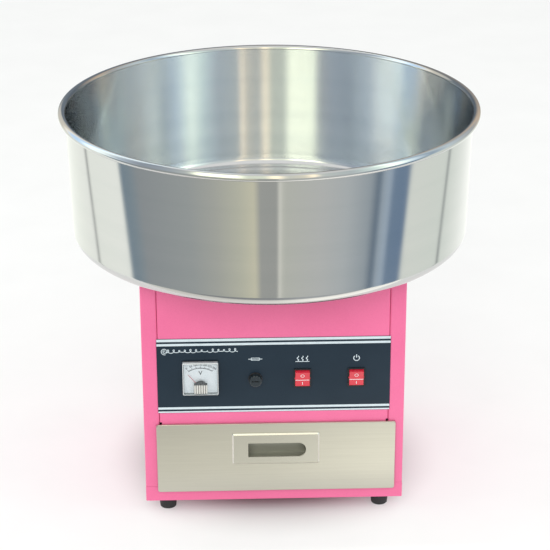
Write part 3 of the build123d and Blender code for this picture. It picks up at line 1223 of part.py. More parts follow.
RIM_SETBACK = 8.0           # of the rims' front ends behind the rails'

with BuildPart() as drawer_front:
    with BuildSketch(Plane.XZ.offset(DRAWER_BACK)):
        with Locations((DRAWER_CENTRE_X, DRAWER_CENTRE_Z)):
            RectangleRounded(DRAWER_RIGHT - DRAWER_LEFT, DRAWER_TOP - DRAWER_BOTTOM, DRAWER_CORNER)
    extrude(amount=DRAWER_FACE - DRAWER_BACK)
    fillet(drawer_front.edges().group_by(Axis.Y)[0], DRAWER_ROUNDING)
    with BuildSketch(Plane.XZ.offset(DRAWER_BACK)):
        with Locations((DRAWER_CENTRE_X, DRAWER_CENTRE_Z)):
            RectangleRounded(DRAWER_RIGHT - DRAWER_LEFT - 2 * SHEET,
                             DRAWER_TOP - DRAWER_BOTTOM - 2 * SHEET, 2)
    extrude(amount=DRAWER_FACE - DRAWER_BACK - SHEET, mode=Mode.SUBTRACT)
    with BuildSketch(Plane.XZ.offset(DRAWER_FACE)):
        with Locations(CUP_CENTRE):
            Rectangle(CUP_WIDTH + 2 * CUP_PLAY, CUP_HEIGHT + 2 * CUP_PLAY)
        with Locations((PULL_CENTRE[0] - PULL_STUD_X, PULL_CENTRE[1]),
                       (PULL_CENTRE[0] + PULL_STUD_X, PULL_CENTRE[1])):
            Circle(PULL_STUD_RADIUS + PANEL_GAP)
    extrude(amount=-SHEET, mode=Mode.SUBTRACT)
save(drawer_front, "drawer_front")

with BuildPart() as drawer_tray:
    with BuildSketch(Plane.XY.offset(TRAY_BOTTOM)):
        with Locations((0, (TRAY_REAR - TRAY_FRONT) / 2)):
            Rectangle(2 * TRAY_HALF_WIDTH, TRAY_REAR + TRAY_FRONT)
    extrude(amount=TRAY_RIM_TOP - TRAY_BOTTOM)
    fillet(drawer_tray.edges().filter_by(Axis.Z), TRAY_CORNER)
    offset(amount=-SHEET, openings=drawer_tray.faces().sort_by(Axis.Z)[-1])
    # folded rims that run on the rails
    with BuildSketch(Plane.XY.offset(TRAY_RIM_TOP - SHEET)):
        for side in (-1, 1):
            with Locations((side * (TRAY_HALF_WIDTH - SHEET + TRAY_RIM_X) / 2,
                            (TRAY_REAR + RAIL_FRONT) / 2)):
                Rectangle(TRAY_RIM_X - TRAY_HALF_WIDTH + SHEET,
                          TRAY_REAR - RAIL_FRONT - RIM_SETBACK)
    extrude(amount=SHEET)
    with BuildSketch(Plane.XZ.offset(TRAY_FRONT)):
        with Locations(CUP_CENTRE):
            Rectangle(CUP_WIDTH + 2 * CUP_PLAY, CUP_HEIGHT + 2 * CUP_PLAY)
        with Locations((PULL_CENTRE[0] - PULL_STUD_X, PULL_CENTRE[1]),
                       (PULL_CENTRE[0] + PULL_STUD_X, PULL_CENTRE[1])):
            Circle(PULL_STUD_RADIUS + PANEL_GAP)
    extrude(amount=-SHEET, mode=Mode.SUBTRACT)
save(drawer_tray, "drawer_tray")

with BuildPart() as drawer_pull:
    with BuildSketch(Plane.XZ.offset(DRAWER_FACE)):
        with Locations(PULL_CENTRE):
            RectangleRounded(PULL_RIGHT - PULL_LEFT, PULL_TOP - PULL_BOTTOM, PULL_CORNER)
    extrude(amount=PULL_PROUD)
    chamfer(drawer_pull.edges().group_by(Axis.Y)[0], PULL_BEVEL)
    with BuildSketch(Plane.XZ.offset(DRAWER_FACE)):
        with Locations(CUP_CENTRE):
            Rectangle(CUP_WIDTH, CUP_HEIGHT)
    extrude(amount=-CUP_DEPTH)
    with BuildSketch(Plane.XZ.offset(DRAWER_FACE - CUP_DEPTH + CUP_WALL)):
        with Locations(CUP_CENTRE):
            RectangleRounded(CUP_RIGHT - CUP_LEFT, CUP_TOP - CUP_BOTTOM, 3)
    extrude(amount=CUP_DEPTH - CUP_WALL, mode=Mode.SUBTRACT)
    # D-shaped finger slot: square on the left, round on the right
    with BuildSketch(Plane.XZ.offset(DRAWER_FACE + PULL_PROUD)):
        with BuildLine():
            slot_radius = (SLOT_TOP - SLOT_BOTTOM) / 2
            bend_x = SLOT_RIGHT - slot_radius
            Polyline((bend_x, SLOT_TOP), (SLOT_LEFT, SLOT_TOP), (SLOT_LEFT, SLOT_BOTTOM),
                     (bend_x, SLOT_BOTTOM))
            ThreePointArc((bend_x, SLOT_BOTTOM), (SLOT_RIGHT, (SLOT_TOP + SLOT_BOTTOM) / 2),
                          (bend_x, SLOT_TOP))
        make_face()
    extrude(amount=-PULL_PROUD - 1, mode=Mode.SUBTRACT)
    # fixing studs
    with BuildSketch(Plane.XZ.offset(DRAWER_FACE)):
        with Locations((PULL_CENTRE[0] - PULL_STUD_X, PULL_CENTRE[1]),
                       (PULL_CENTRE[0] + PULL_STUD_X, PULL_CENTRE[1])):
            Circle(PULL_STUD_RADIUS)
    extrude(amount=-PULL_STUD_LENGTH)
save(drawer_pull, "drawer_pull")

with BuildPart() as pull_nuts:
    with BuildSketch(Plane.XZ.offset(TRAY_FRONT - SHEET)):
        with Locations((PULL_CENTRE[0] - PULL_STUD_X, PULL_CENTRE[1]),
                       (PULL_CENTRE[0] + PULL_STUD_X, PULL_CENTRE[1])):
            RegularPolygon(radius=PULL_NUT_RADIUS, side_count=6)
            Circle(PULL_STUD_RADIUS + PRESS_GAP, mode=Mode.SUBTRACT)
    extrude(amount=-PULL_NUT_HEIGHT)
save(pull_nuts, "pull_nuts")
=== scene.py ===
import json
from math import atan2, cos, degrees, pi, radians, sin, tan

import bpy
from mathutils import Euler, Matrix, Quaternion, Vector


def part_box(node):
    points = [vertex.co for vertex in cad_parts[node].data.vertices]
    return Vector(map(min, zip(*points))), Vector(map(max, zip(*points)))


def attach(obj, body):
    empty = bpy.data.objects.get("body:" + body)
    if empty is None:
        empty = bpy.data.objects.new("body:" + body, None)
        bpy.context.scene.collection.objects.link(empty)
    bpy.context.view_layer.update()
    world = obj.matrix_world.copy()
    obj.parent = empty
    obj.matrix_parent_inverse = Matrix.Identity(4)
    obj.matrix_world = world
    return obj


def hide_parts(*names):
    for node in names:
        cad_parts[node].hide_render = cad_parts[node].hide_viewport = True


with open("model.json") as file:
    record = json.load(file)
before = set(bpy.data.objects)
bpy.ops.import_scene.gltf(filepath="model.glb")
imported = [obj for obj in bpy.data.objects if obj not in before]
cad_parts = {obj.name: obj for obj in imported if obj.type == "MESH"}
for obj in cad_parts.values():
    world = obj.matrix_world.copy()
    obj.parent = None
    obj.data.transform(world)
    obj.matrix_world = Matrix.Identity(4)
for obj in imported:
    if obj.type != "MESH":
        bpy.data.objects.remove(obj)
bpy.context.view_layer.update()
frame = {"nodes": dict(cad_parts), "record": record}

# ---- the studio -----------------------------------------------------------------------------
# A pale floor in an evenly lit white room, with one broad soft light high in front and a weak
# one on each side. A ring of grey and white cards stands round the machine where only
# reflections see it, so that the polished bowl has something to show.


def new_finish(name, **sockets):
    """A material with one Principled shader whose own sockets are set by their names."""
    finish = bpy.data.materials.new(name)
    finish.use_nodes = True
    shader = finish.node_tree.nodes["Principled BSDF"]
    for socket, value in sockets.items():
        shader.inputs[socket.replace("_", " ")].default_value = value
    return finish, shader


def put(finish, kind, inputs=None, **settings):
    """A node in a material, its settings made and its inputs either linked or filled in."""
    node = finish.node_tree.nodes.new("ShaderNode" + kind)
    for name, value in settings.items():
        setattr(node, name, value)
    for socket, value in (inputs or {}).items():
        if isinstance(value, bpy.types.Node):
            value = value.outputs[0]
        if isinstance(value, bpy.types.NodeSocket):
            finish.node_tree.links.new(value, node.inputs[socket])
        else:
            node.inputs[socket].default_value = value
    return node


def feed(finish, shader, **sources):
    """Nodes or their outputs linked to the shader's sockets, by the sockets' names."""
    for socket, source in sources.items():
        output = source.outputs[0] if isinstance(source, bpy.types.Node) else source
        finish.node_tree.links.new(output, shader.inputs[socket.replace("_", " ")])


def place_on(finish):
    """Where each point of the piece is, in metres in the shared frame."""
    return put(finish, "TexCoord").outputs["Object"]


def axes_on(finish):
    """The same place as three outputs, X, Y and Z."""
    return put(finish, "SeparateXYZ", {"Vector": place_on(finish)}).outputs


def ramp(finish, factor, stops):
    """The colour output of a ramp through (position, colour) stops."""
    node = put(finish, "ValToRGB", {"Fac": factor})
    while len(node.color_ramp.elements) < len(stops):
        node.color_ramp.elements.new(1.0)
    for element, (position, colour) in zip(node.color_ramp.elements, stops):
        element.position = position
        element.color = (*colour, 1.0)
    return node.outputs["Color"]


def select_only(*pieces):
    """These pieces selected and nothing else, the first of them active."""
    bpy.ops.object.select_all(action="DESELECT")
    for piece in pieces:
        piece.select_set(True)
    if pieces:
        bpy.context.view_layer.objects.active = pieces[0]


def baked_in_place(piece):
    """The object's place, turn and size moved into its mesh, so that it sits at the origin."""
    select_only(piece)
    bpy.ops.object.transform_apply(location=True, rotation=True, scale=True)
    return piece


def reflected_only(card):
    """A card that reflections see, and that neither lights nor shades anything."""
    card.visible_camera = False
    card.visible_diffuse = False
    card.visible_transmission = False
    card.visible_volume_scatter = False
    card.visible_shadow = False
    return card


def glowing(finish, colour):
    """The material gives out the colour and reflects nothing."""
    glow = put(finish, "Emission", {"Color": colour})
    out = finish.node_tree.nodes["Material Output"]
    finish.node_tree.links.new(glow.outputs[0], out.inputs["Surface"])


ROOM_GLOW = 0.88
FLOOR_SIZE = 16.0
FLOOR_GLOW = 0.42
SHADE_REACH = 0.1
GLOW_FROM = 0.23

bpy.context.scene.view_settings.view_transform = "Standard"
room = bpy.data.worlds.new("white_room")
room.use_nodes = True
room.node_tree.nodes["Background"].inputs["Color"].default_value = (1.0, 1.0, 1.0, 1.0)
room.node_tree.nodes["Background"].inputs["Strength"].default_value = ROOM_GLOW
bpy.context.scene.world = room

select_only()
bpy.ops.mesh.primitive_plane_add(size=FLOOR_SIZE)
floor = bpy.context.object
floor.name = "studio_floor"
paper, shader = new_finish("white_paper", Roughness=0.9, Emission_Color=(1.0, 1.0, 1.0, 1.0))
speck = put(paper, "TexNoise", {"Vector": place_on(paper), "Scale": 9.0, "Detail": 3.0})
floor_tone = ramp(paper, speck, [(0.3, (0.50, 0.51, 0.50)), (0.7, (0.52, 0.53, 0.52))])
distance = put(paper, "VectorMath", {0: place_on(paper)}, operation="LENGTH").outputs["Value"]
# the floor glows faintly, but the glow fades out under the machine: a painted shadow where its shade
# lies
floor_glow = put(
    paper,
    "MapRange",
    {"Value": distance, "From Min": SHADE_REACH, "From Max": GLOW_FROM, "To Max": FLOOR_GLOW},
    interpolation_type="SMOOTHSTEP",
)
feed(paper, shader, Base_Color=floor_tone, Emission_Strength=floor_glow)
floor.data.materials.append(paper)

# each light: its place, its width and height, and its watts; all face the machine's middle
MACHINE_MIDDLE = Vector((0.0, 0.0, 0.25))
for name, place, size, watts in (
    ("front_light", (-0.5, -2.9, 2.3), (2.2, 1.4), 36.0),
    ("right_light", (2.4, -0.9, 1.6), (1.2, 1.6), 12.0),
    ("left_light", (-2.5, -0.4, 1.7), (1.2, 1.6), 12.0),
):
    select_only()
    towards = (MACHINE_MIDDLE - Vector(place)).to_track_quat("-Z", "Y")
    bpy.ops.object.light_add(type="AREA", location=place, rotation=towards.to_euler())
    light = bpy.context.object
    light.name = name
    light.data.shape = "RECTANGLE"
    light.data.size, light.data.size_y = size
    light.data.energy = watts
    light.visible_camera = False

CARD_RING_RADIUS = 0.62
CARD_RING_BOTTOM = 0.07
CARD_RING_HEIGHT = 1.5
LOW_CARDS_TOP = 0.40
HIGH_CARDS_FOOT = 0.46
CARDS_SPREAD = 1.08
CARDS_SPREAD_PER_METRE = -0.4
HIGH_CARDS_GAMMA = 1.5
HIGH_CARDS_VALUE = 0.70
select_only()
bpy.ops.mesh.primitive_cylinder_add(
    vertices=128,
    radius=CARD_RING_RADIUS,
    depth=CARD_RING_HEIGHT,
    end_fill_type="NOTHING",
    location=(0.0, 0.0, CARD_RING_BOTTOM + CARD_RING_HEIGHT / 2),
)
card_ring = reflected_only(baked_in_place(bpy.context.object))
card_ring.name = "studio_cards"

# each stop: degrees round from the front, towards the right, and the card's brightness there
LOW_CARDS = [
    (-180, (1.16, 1.18, 1.12)),
    (-122, (1.13, 1.16, 1.08)),
    (-105, (1.12, 1.14, 1.08)),
    (-103, (0.35, 0.36, 0.36)),
    (-101, (1.10, 1.13, 1.06)),
    (-76, (1.16, 1.18, 1.12)),
    (-74, (0.24, 0.32, 0.39)),
    (-68, (0.30, 0.37, 0.42)),
    (-63, (0.37, 0.40, 0.42)),
    (-38, (0.44, 0.47, 0.47)),
    (-26, (0.53, 0.54, 0.50)),
    (-15, (0.66, 0.66, 0.55)),
    (-8, (0.80, 0.77, 0.60)),
    (-6, (0.47, 0.48, 0.46)),
    (1.5, (0.46, 0.47, 0.45)),
    (3, (0.95, 0.94, 0.86)),
    (4.5, (0.66, 0.67, 0.61)),
    (21, (0.65, 0.66, 0.65)),
    (33, (0.58, 0.62, 0.64)),
    (44, (0.42, 0.48, 0.53)),
    (48.5, (0.14, 0.20, 0.28)),
    (50, (0.42, 0.50, 0.58)),
    (54, (0.48, 0.58, 0.70)),
    (56.5, (0.22, 0.31, 0.44)),
    (64.5, (0.20, 0.29, 0.43)),
    (67, (0.95, 0.98, 0.92)),
    (94, (0.90, 0.95, 0.89)),
    (96, (0.30, 0.32, 0.33)),
    (98, (0.92, 0.97, 0.91)),
    (125, (1.15, 1.17, 1.12)),
    (180, (1.16, 1.18, 1.12)),
]
HIGH_CARDS = [
    (-180, (0.40, 0.44, 0.50)),
    (-124, (0.45, 0.50, 0.56)),
    (-119, (1.00, 0.98, 0.94)),
    (-104, (1.15, 1.10, 1.00)),
    (-99, (1.50, 1.45, 1.35)),
    (-92, (1.10, 1.30, 1.55)),
    (-86, (1.10, 1.35, 1.60)),
    (-78, (1.70, 1.85, 1.90)),
    (-68, (1.55, 1.65, 1.65)),
    (-60, (0.95, 1.05, 1.15)),
    (-49, (0.66, 0.72, 0.80)),
    (-38, (0.78, 0.84, 0.90)),
    (-30, (0.98, 1.02, 1.00)),
    (-26, (2.10, 2.15, 1.80)),
    (-13, (2.15, 2.20, 1.85)),
    (-9, (1.25, 1.30, 1.15)),
    (-3, (1.25, 1.30, 1.15)),
    (1, (2.05, 1.85, 1.50)),
    (5, (1.10, 1.12, 1.05)),
    (11, (1.30, 1.25, 1.10)),
    (14, (1.95, 1.75, 1.45)),
    (17, (1.05, 1.10, 1.08)),
    (28, (0.95, 1.02, 1.04)),
    (37, (1.25, 1.40, 1.36)),
    (45, (1.90, 2.05, 1.85)),
    (54, (1.20, 1.36, 1.46)),
    (63, (0.72, 0.84, 0.96)),
    (74, (1.05, 1.15, 1.20)),
    (96, (0.80, 0.82, 0.84)),
    (108, (1.05, 0.90, 0.76)),
    (135, (0.34, 0.39, 0.45)),
]
cards = new_finish("studio_cards")[0]
around = axes_on(cards)
front_to_back = put(cards, "Math", {0: around["Y"], 1: -1.0}, operation="MULTIPLY")
bearing = put(cards, "Math", {0: around["X"], 1: front_to_back}, operation="ARCTAN2")
# the cards close in towards the front as they rise
narrowing = put(
    cards,
    "Math",
    {0: around["Z"], 1: CARDS_SPREAD_PER_METRE, 2: CARDS_SPREAD},
    operation="MULTIPLY_ADD",
)
leaning = put(cards, "Math", {0: bearing, 1: narrowing}, operation="MULTIPLY")
share = put(cards, "MapRange", {"Value": leaning, "From Min": -pi, "From Max": pi})
low, high = (
    ramp(cards, share, [(0.5 + turn / 360, tone) for turn, tone in stops])
    for stops in (LOW_CARDS, HIGH_CARDS)
)
high = put(cards, "Gamma", {"Color": high, "Gamma": HIGH_CARDS_GAMMA})
high = put(cards, "HueSaturation", {"Color": high, "Value": HIGH_CARDS_VALUE})
height = put(
    cards,
    "MapRange",
    {"Value": around["Z"], "From Min": LOW_CARDS_TOP, "From Max": HIGH_CARDS_FOOT},
)
both = put(cards, "Mix", {"Factor": height, "A": low, "B": high}, data_type="RGBA")
glowing(cards, both.outputs["Result"])
card_ring.data.materials.append(cards)

# the table in front, which the upright faces mirror: pale near the machine, dark further out
TABLE_NEAR = -0.24
TABLE_DARK = -0.74
TABLE_FAR = -1.6
TABLE_WIDTH = 2.4
TABLE_HEIGHT = 0.002
TABLE_SIDE = 0.25
select_only()
bpy.ops.mesh.primitive_plane_add(
    size=1.0, location=(0.0, (TABLE_NEAR + TABLE_FAR) / 2, TABLE_HEIGHT)
)
table_card = bpy.context.object
table_card.scale = (TABLE_WIDTH, TABLE_NEAR - TABLE_FAR, 1.0)
table_card = reflected_only(baked_in_place(table_card))
table_card.name = "studio_table_card"
table = new_finish("studio_table_card")[0]
over = axes_on(table)
away = put(table, "MapRange", {"Value": over["Y"], "From Min": TABLE_NEAR, "From Max": TABLE_DARK})
across = put(
    table, "MapRange", {"Value": over["X"], "From Min": -TABLE_SIDE, "From Max": TABLE_SIDE}
)
depth_tone = ramp(
    table,
    away,
    [
        (0.0, (1.10, 1.08, 1.02)),
        (0.42, (0.92, 0.90, 0.84)),
        (0.52, (0.40, 0.41, 0.42)),
        (1.0, (0.32, 0.34, 0.36)),
    ],
)
side_tone = ramp(table, across, [(0.15, (0.88,) * 3), (0.5, (1.0,) * 3), (0.8, (1.35,) * 3)])
product = put(
    table,
    "Mix",
    {"Factor": 1.0, "A": depth_tone, "B": side_tone},
    data_type="RGBA",
    blend_type="MULTIPLY",
)
glowing(table, product.outputs["Result"])
table_card.data.materials.append(table)

CAMERA_PLACE = Vector((-0.0604, -2.2362, 1.2124))
CAMERA_AIM = Vector((0.0063, 0.0, 0.2592))
CAMERA_ROLL = -0.19
CAMERA_LENS = 124.36
select_only()
bpy.ops.object.camera_add(location=CAMERA_PLACE)
camera = bpy.context.object
camera.rotation_mode = "QUATERNION"
camera.rotation_quaternion = (CAMERA_AIM - CAMERA_PLACE).to_track_quat("-Z", "Y") @ Quaternion(
    (0.0, 0.0, 1.0), radians(CAMERA_ROLL)
)
camera.data.lens = CAMERA_LENS
camera.data.dof.use_dof = False
bpy.context.scene.camera = camera

# ---- feet -----------------------------------------------------------------------------------
# Four moulded black rubber feet, a little wider at the top, each with a well in its underside
# for the screw that holds it to the base pan. The bottom edge is rounded.


def arc(centre, radius, start, end, steps):
    """Points round a centre in the (radius, height) plane, from one angle to another in degrees."""
    turns = [radians(start + (end - start) * i / steps) for i in range(steps + 1)]
    return [(centre[0] + radius * cos(t), centre[1] + radius * sin(t)) for t in turns]


# points closer than this become one, and edges sharper than this many degrees stay crisp
WELD = 1e-6
CREASE = 30.0


def spun(name, outline, steps):
    """A round piece: one point drawn out along (radius, height) points, then spun about Z."""
    select_only()
    bpy.ops.mesh.primitive_plane_add(size=0.001)
    piece = bpy.context.object
    piece.name = piece.data.name = name
    bpy.ops.object.mode_set(mode="EDIT")
    bpy.ops.mesh.merge(type="CENTER")
    bpy.ops.transform.translate(value=(outline[0][0], 0.0, outline[0][1]))
    for here, there in zip(outline, outline[1:]):
        bpy.ops.mesh.extrude_region_move(
            TRANSFORM_OT_translate={"value": (there[0] - here[0], 0.0, there[1] - here[1])}
        )
    bpy.ops.mesh.select_all(action="SELECT")
    bpy.ops.mesh.spin(steps=steps, angle=2 * pi, center=(0, 0, 0), axis=(0, 0, 1))
    bpy.ops.mesh.select_all(action="SELECT")
    bpy.ops.mesh.remove_doubles(threshold=WELD)
    bpy.ops.mesh.normals_make_consistent(inside=False)
    bpy.ops.object.mode_set(mode="OBJECT")
    return piece


def smoothed(piece, crease=CREASE):
    """Smooth shading except across edges sharper than the crease angle."""
    select_only(piece)
    bpy.ops.object.shade_smooth_by_angle(angle=radians(crease))
    return piece


def modified(piece, kind, **settings):
    """One modifier put on the piece and applied."""
    select_only(piece)
    modifier = piece.modifiers.new(kind.title(), kind)
    for name, value in settings.items():
        setattr(modifier, name, value)
    bpy.ops.object.modifier_apply(modifier=modifier.name)
    return piece


def joined(name, pieces):
    """Several meshes made one."""
    select_only(*pieces)
    bpy.ops.object.join()
    pieces[0].name = pieces[0].data.name = name
    return pieces[0]


def copied(piece, move):
    """A copy with its own mesh, moved."""
    select_only(piece)
    bpy.ops.object.duplicate()
    twin = bpy.context.object
    twin.location = move
    return baked_in_place(twin)


def textured_finish(name, tones, roughs, grain, relief, drift=0.06, **sockets):
    """A finish whose colour and roughness drift between two values, with a fine relief.

    grain is the size of the relief along X, Y and Z and relief its height, both in metres;
    drift is how much coarser the colour's pattern is.
    """
    finish, shader = new_finish(name, **sockets)
    fitted = put(
        finish, "Mapping", {"Vector": place_on(finish), "Scale": [1.0 / size for size in grain]}
    )
    fine = put(finish, "TexNoise", {"Vector": fitted, "Scale": 1.0, "Detail": 3.0})
    broad = put(finish, "TexNoise", {"Vector": fitted, "Scale": drift, "Detail": 2.0})
    both = put(finish, "Math", {0: fine, 1: broad}, operation="ADD")
    half = put(finish, "Math", {0: both, 1: 0.5}, operation="MULTIPLY")
    colour = ramp(finish, half, [(0.35, tones[0]), (0.65, tones[1])])
    rough = put(finish, "MapRange", {"Value": broad, "To Min": roughs[0], "To Max": roughs[1]})
    bump = put(finish, "Bump", {"Height": fine, "Strength": 0.6, "Distance": relief})
    feed(finish, shader, Base_Color=colour, Roughness=rough, Normal=bump)
    return finish


def wear(piece, finish, slot, body, *stands_for):
    """The piece gets its finish, rides on a body and hides CAD nodes; slot is not used."""
    piece.data.materials.clear()
    piece.data.materials.append(finish)
    if stands_for:
        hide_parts(*stands_for)
    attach(piece, body)
    return piece


def dress(finish, *slots):
    """CAD nodes of these material slots that stay on show get the finish."""
    for row in frame["record"]["subparts"]:
        if row["material_slot"] in slots:
            for place in frame["nodes"][row["node"]].material_slots:
                place.material = finish


feet_low, feet_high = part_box("feet")
FOOT_TOP_RADIUS = 0.0116
FOOT_BASE_RADIUS = 0.0102
FOOT_EDGE = 0.0015
FOOT_WELL_RADIUS = 0.005
FOOT_WELL_DEPTH = 0.009
foot_outline = (
    [(0.0, FOOT_WELL_DEPTH), (FOOT_WELL_RADIUS, FOOT_WELL_DEPTH), (FOOT_WELL_RADIUS, 0.0)]
    + arc((FOOT_BASE_RADIUS - FOOT_EDGE, FOOT_EDGE), FOOT_EDGE, -90, 0, 5)
    + [(FOOT_TOP_RADIUS, feet_high.z), (0.0, feet_high.z)]
)
foot = spun("rubber_feet", foot_outline, steps=48)
foot.location = (feet_high.x - FOOT_TOP_RADIUS, feet_low.y + FOOT_TOP_RADIUS, 0.0)
baked_in_place(foot)
across = feet_low.x - feet_high.x + 2 * FOOT_TOP_RADIUS
along = feet_high.y - feet_low.y - 2 * FOOT_TOP_RADIUS
feet = [foot] + [copied(foot, move) for move in ((across, 0, 0), (0, along, 0), (across, along, 0))]
rubber = textured_finish(
    "black_rubber",
    ((0.012, 0.012, 0.013), (0.028, 0.028, 0.03)),
    (0.55, 0.7),
    (0.0006, 0.0006, 0.0006),
    0.00004,
)
wear(smoothed(joined("rubber_feet", feet)), rubber, "black_rubber", "cabinet", "feet")
dress(rubber, "black_rubber")

# ---- cabinet --------------------------------------------------------------------------------
# Folded 1.2 mm steel: base pan with a front lip, two louvred sides, front and rear panels and a
# top plate, screwed together and powder coated pink with the coating's faint orange peel.
pink = textured_finish(
    "pink_powder_coat",
    ((0.79, 0.142, 0.310), (0.83, 0.158, 0.335)),
    (0.28, 0.36),
    (0.0018, 0.0018, 0.0018),
    0.00004,
    drift=0.03,
)
dress(pink, "pink_paint")

# ---- inside the cabinet ---------------------------------------------------------------------
# Zinc-plated shelf, drawer rails and motor bracket, the motor with its windings and laminations,
# the fan, the slip rings with their carbon brushes, and the screws. Little of it shows.

# each: its slot, two colours, two roughnesses, the relief's size and height, and how metallic
for slot, tones, roughs, grain, relief, metal in (
    ("zinc_sheet", ((0.42, 0.43, 0.45), (0.58, 0.59, 0.60)), (0.32, 0.5), 0.004, 0.00001, 1.0),
    ("plated_screws", ((0.55, 0.55, 0.52), (0.68, 0.67, 0.64)), (0.22, 0.34), 0.0008, 0.00001, 1.0),
    ("spring_steel", ((0.40, 0.40, 0.42), (0.52, 0.52, 0.54)), (0.25, 0.4), 0.001, 0.00001, 1.0),
    ("shaft_steel", ((0.55, 0.55, 0.56), (0.66, 0.66, 0.67)), (0.12, 0.22), 0.0007, 0.000005, 1.0),
    ("core_steel", ((0.10, 0.10, 0.11), (0.20, 0.20, 0.21)), (0.45, 0.6), 0.0006, 0.00003, 1.0),
    ("copper", ((0.50, 0.17, 0.06), (0.66, 0.27, 0.12)), (0.25, 0.4), 0.0009, 0.00008, 1.0),
    ("brass", ((0.62, 0.42, 0.14), (0.74, 0.54, 0.22)), (0.2, 0.35), 0.001, 0.00001, 1.0),
    ("motor_can", ((0.012, 0.013, 0.015), (0.03, 0.032, 0.035)), (0.3, 0.45), 0.002, 0.00004, 0.0),
    ("fan_plastic", ((0.010, 0.010, 0.011), (0.022, 0.022, 0.024)), (0.4, 0.55), 0.001, 0.00003, 0.0),
    ("carbon", ((0.006, 0.006, 0.006), (0.016, 0.016, 0.016)), (0.6, 0.8), 0.0004, 0.00004, 0.0),
    ("terminal_plastic", ((0.66, 0.62, 0.50), (0.74, 0.70, 0.60)), (0.35, 0.5), 0.001, 0.00003, 0.0),
    ("ceramic", ((0.72, 0.68, 0.58), (0.82, 0.79, 0.70)), (0.6, 0.75), 0.0005, 0.00004, 0.0),
    ("heater_wire", ((0.09, 0.07, 0.06), (0.20, 0.17, 0.16)), (0.4, 0.6), 0.0006, 0.00003, 1.0),
    ("fuse_glass", ((0.60, 0.64, 0.64), (0.72, 0.75, 0.75)), (0.05, 0.12), 0.002, 0.000005, 0.0),
):
    dress(textured_finish(slot, tones, roughs, (grain,) * 3, relief, Metallic=metal), slot)

# ---- seal under the bowl --------------------------------------------------------------------
# A flat ring of soft dark grey rubber, cut from sheet. It lies on the top plate round the spigot,
# and the floor of the bowl rests on it.
seal_rubber = textured_finish(
    "seal_rubber",
    ((0.035, 0.035, 0.036), (0.06, 0.06, 0.062)),
    (0.6, 0.75),
    (0.001, 0.001, 0.001),
    0.00004,
)
dress(seal_rubber, "seal_rubber")

# ---- bowl -----------------------------------------------------------------------------------
# One sheet of 0.8 mm stainless steel, spun over a former: a collar round the centre hole, a flat
# floor, a rounded corner, a wall that opens out a little, and a rim rolled outwards. Spinning and
# polishing leave fine rings all round it.
bowl_low, bowl_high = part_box("bowl")
BOWL_SHEET = 0.0008
COLLAR_RADIUS = 0.0804
COLLAR_TOP = bowl_low.z + 0.015
COLLAR_CORNER = 0.0034
WALL_FOOT_RADIUS = 0.2466
WALL_CORNER = 0.0146
RIM_RADIUS = 0.0044
floor_z = bowl_low.z + BOWL_SHEET / 2
rim_centre = (
    bowl_high.x - RIM_RADIUS - BOWL_SHEET / 2,
    bowl_high.z - RIM_RADIUS - BOWL_SHEET / 2,
)
wall_lean = atan2(rim_centre[0] - RIM_RADIUS - WALL_FOOT_RADIUS, rim_centre[1] - floor_z)
corner_centre = (
    WALL_FOOT_RADIUS + WALL_CORNER * (sin(wall_lean) - 1.0) / cos(wall_lean),
    floor_z + WALL_CORNER,
)
bowl_outline = (
    [(COLLAR_RADIUS, COLLAR_TOP - BOWL_SHEET / 2)]
    + arc((COLLAR_RADIUS + COLLAR_CORNER, floor_z + COLLAR_CORNER), COLLAR_CORNER, 180, 270, 6)
    + arc(corner_centre, WALL_CORNER, -90, -degrees(wall_lean), 12)
    + arc(rim_centre, RIM_RADIUS, 180, -92, 30)
)
bowl = modified(
    spun("bowl_steel", bowl_outline, steps=200),
    "SOLIDIFY",
    thickness=BOWL_SHEET,
    offset=0.0,
    use_even_offset=True,
)
GROOVE_PITCH = 0.0007


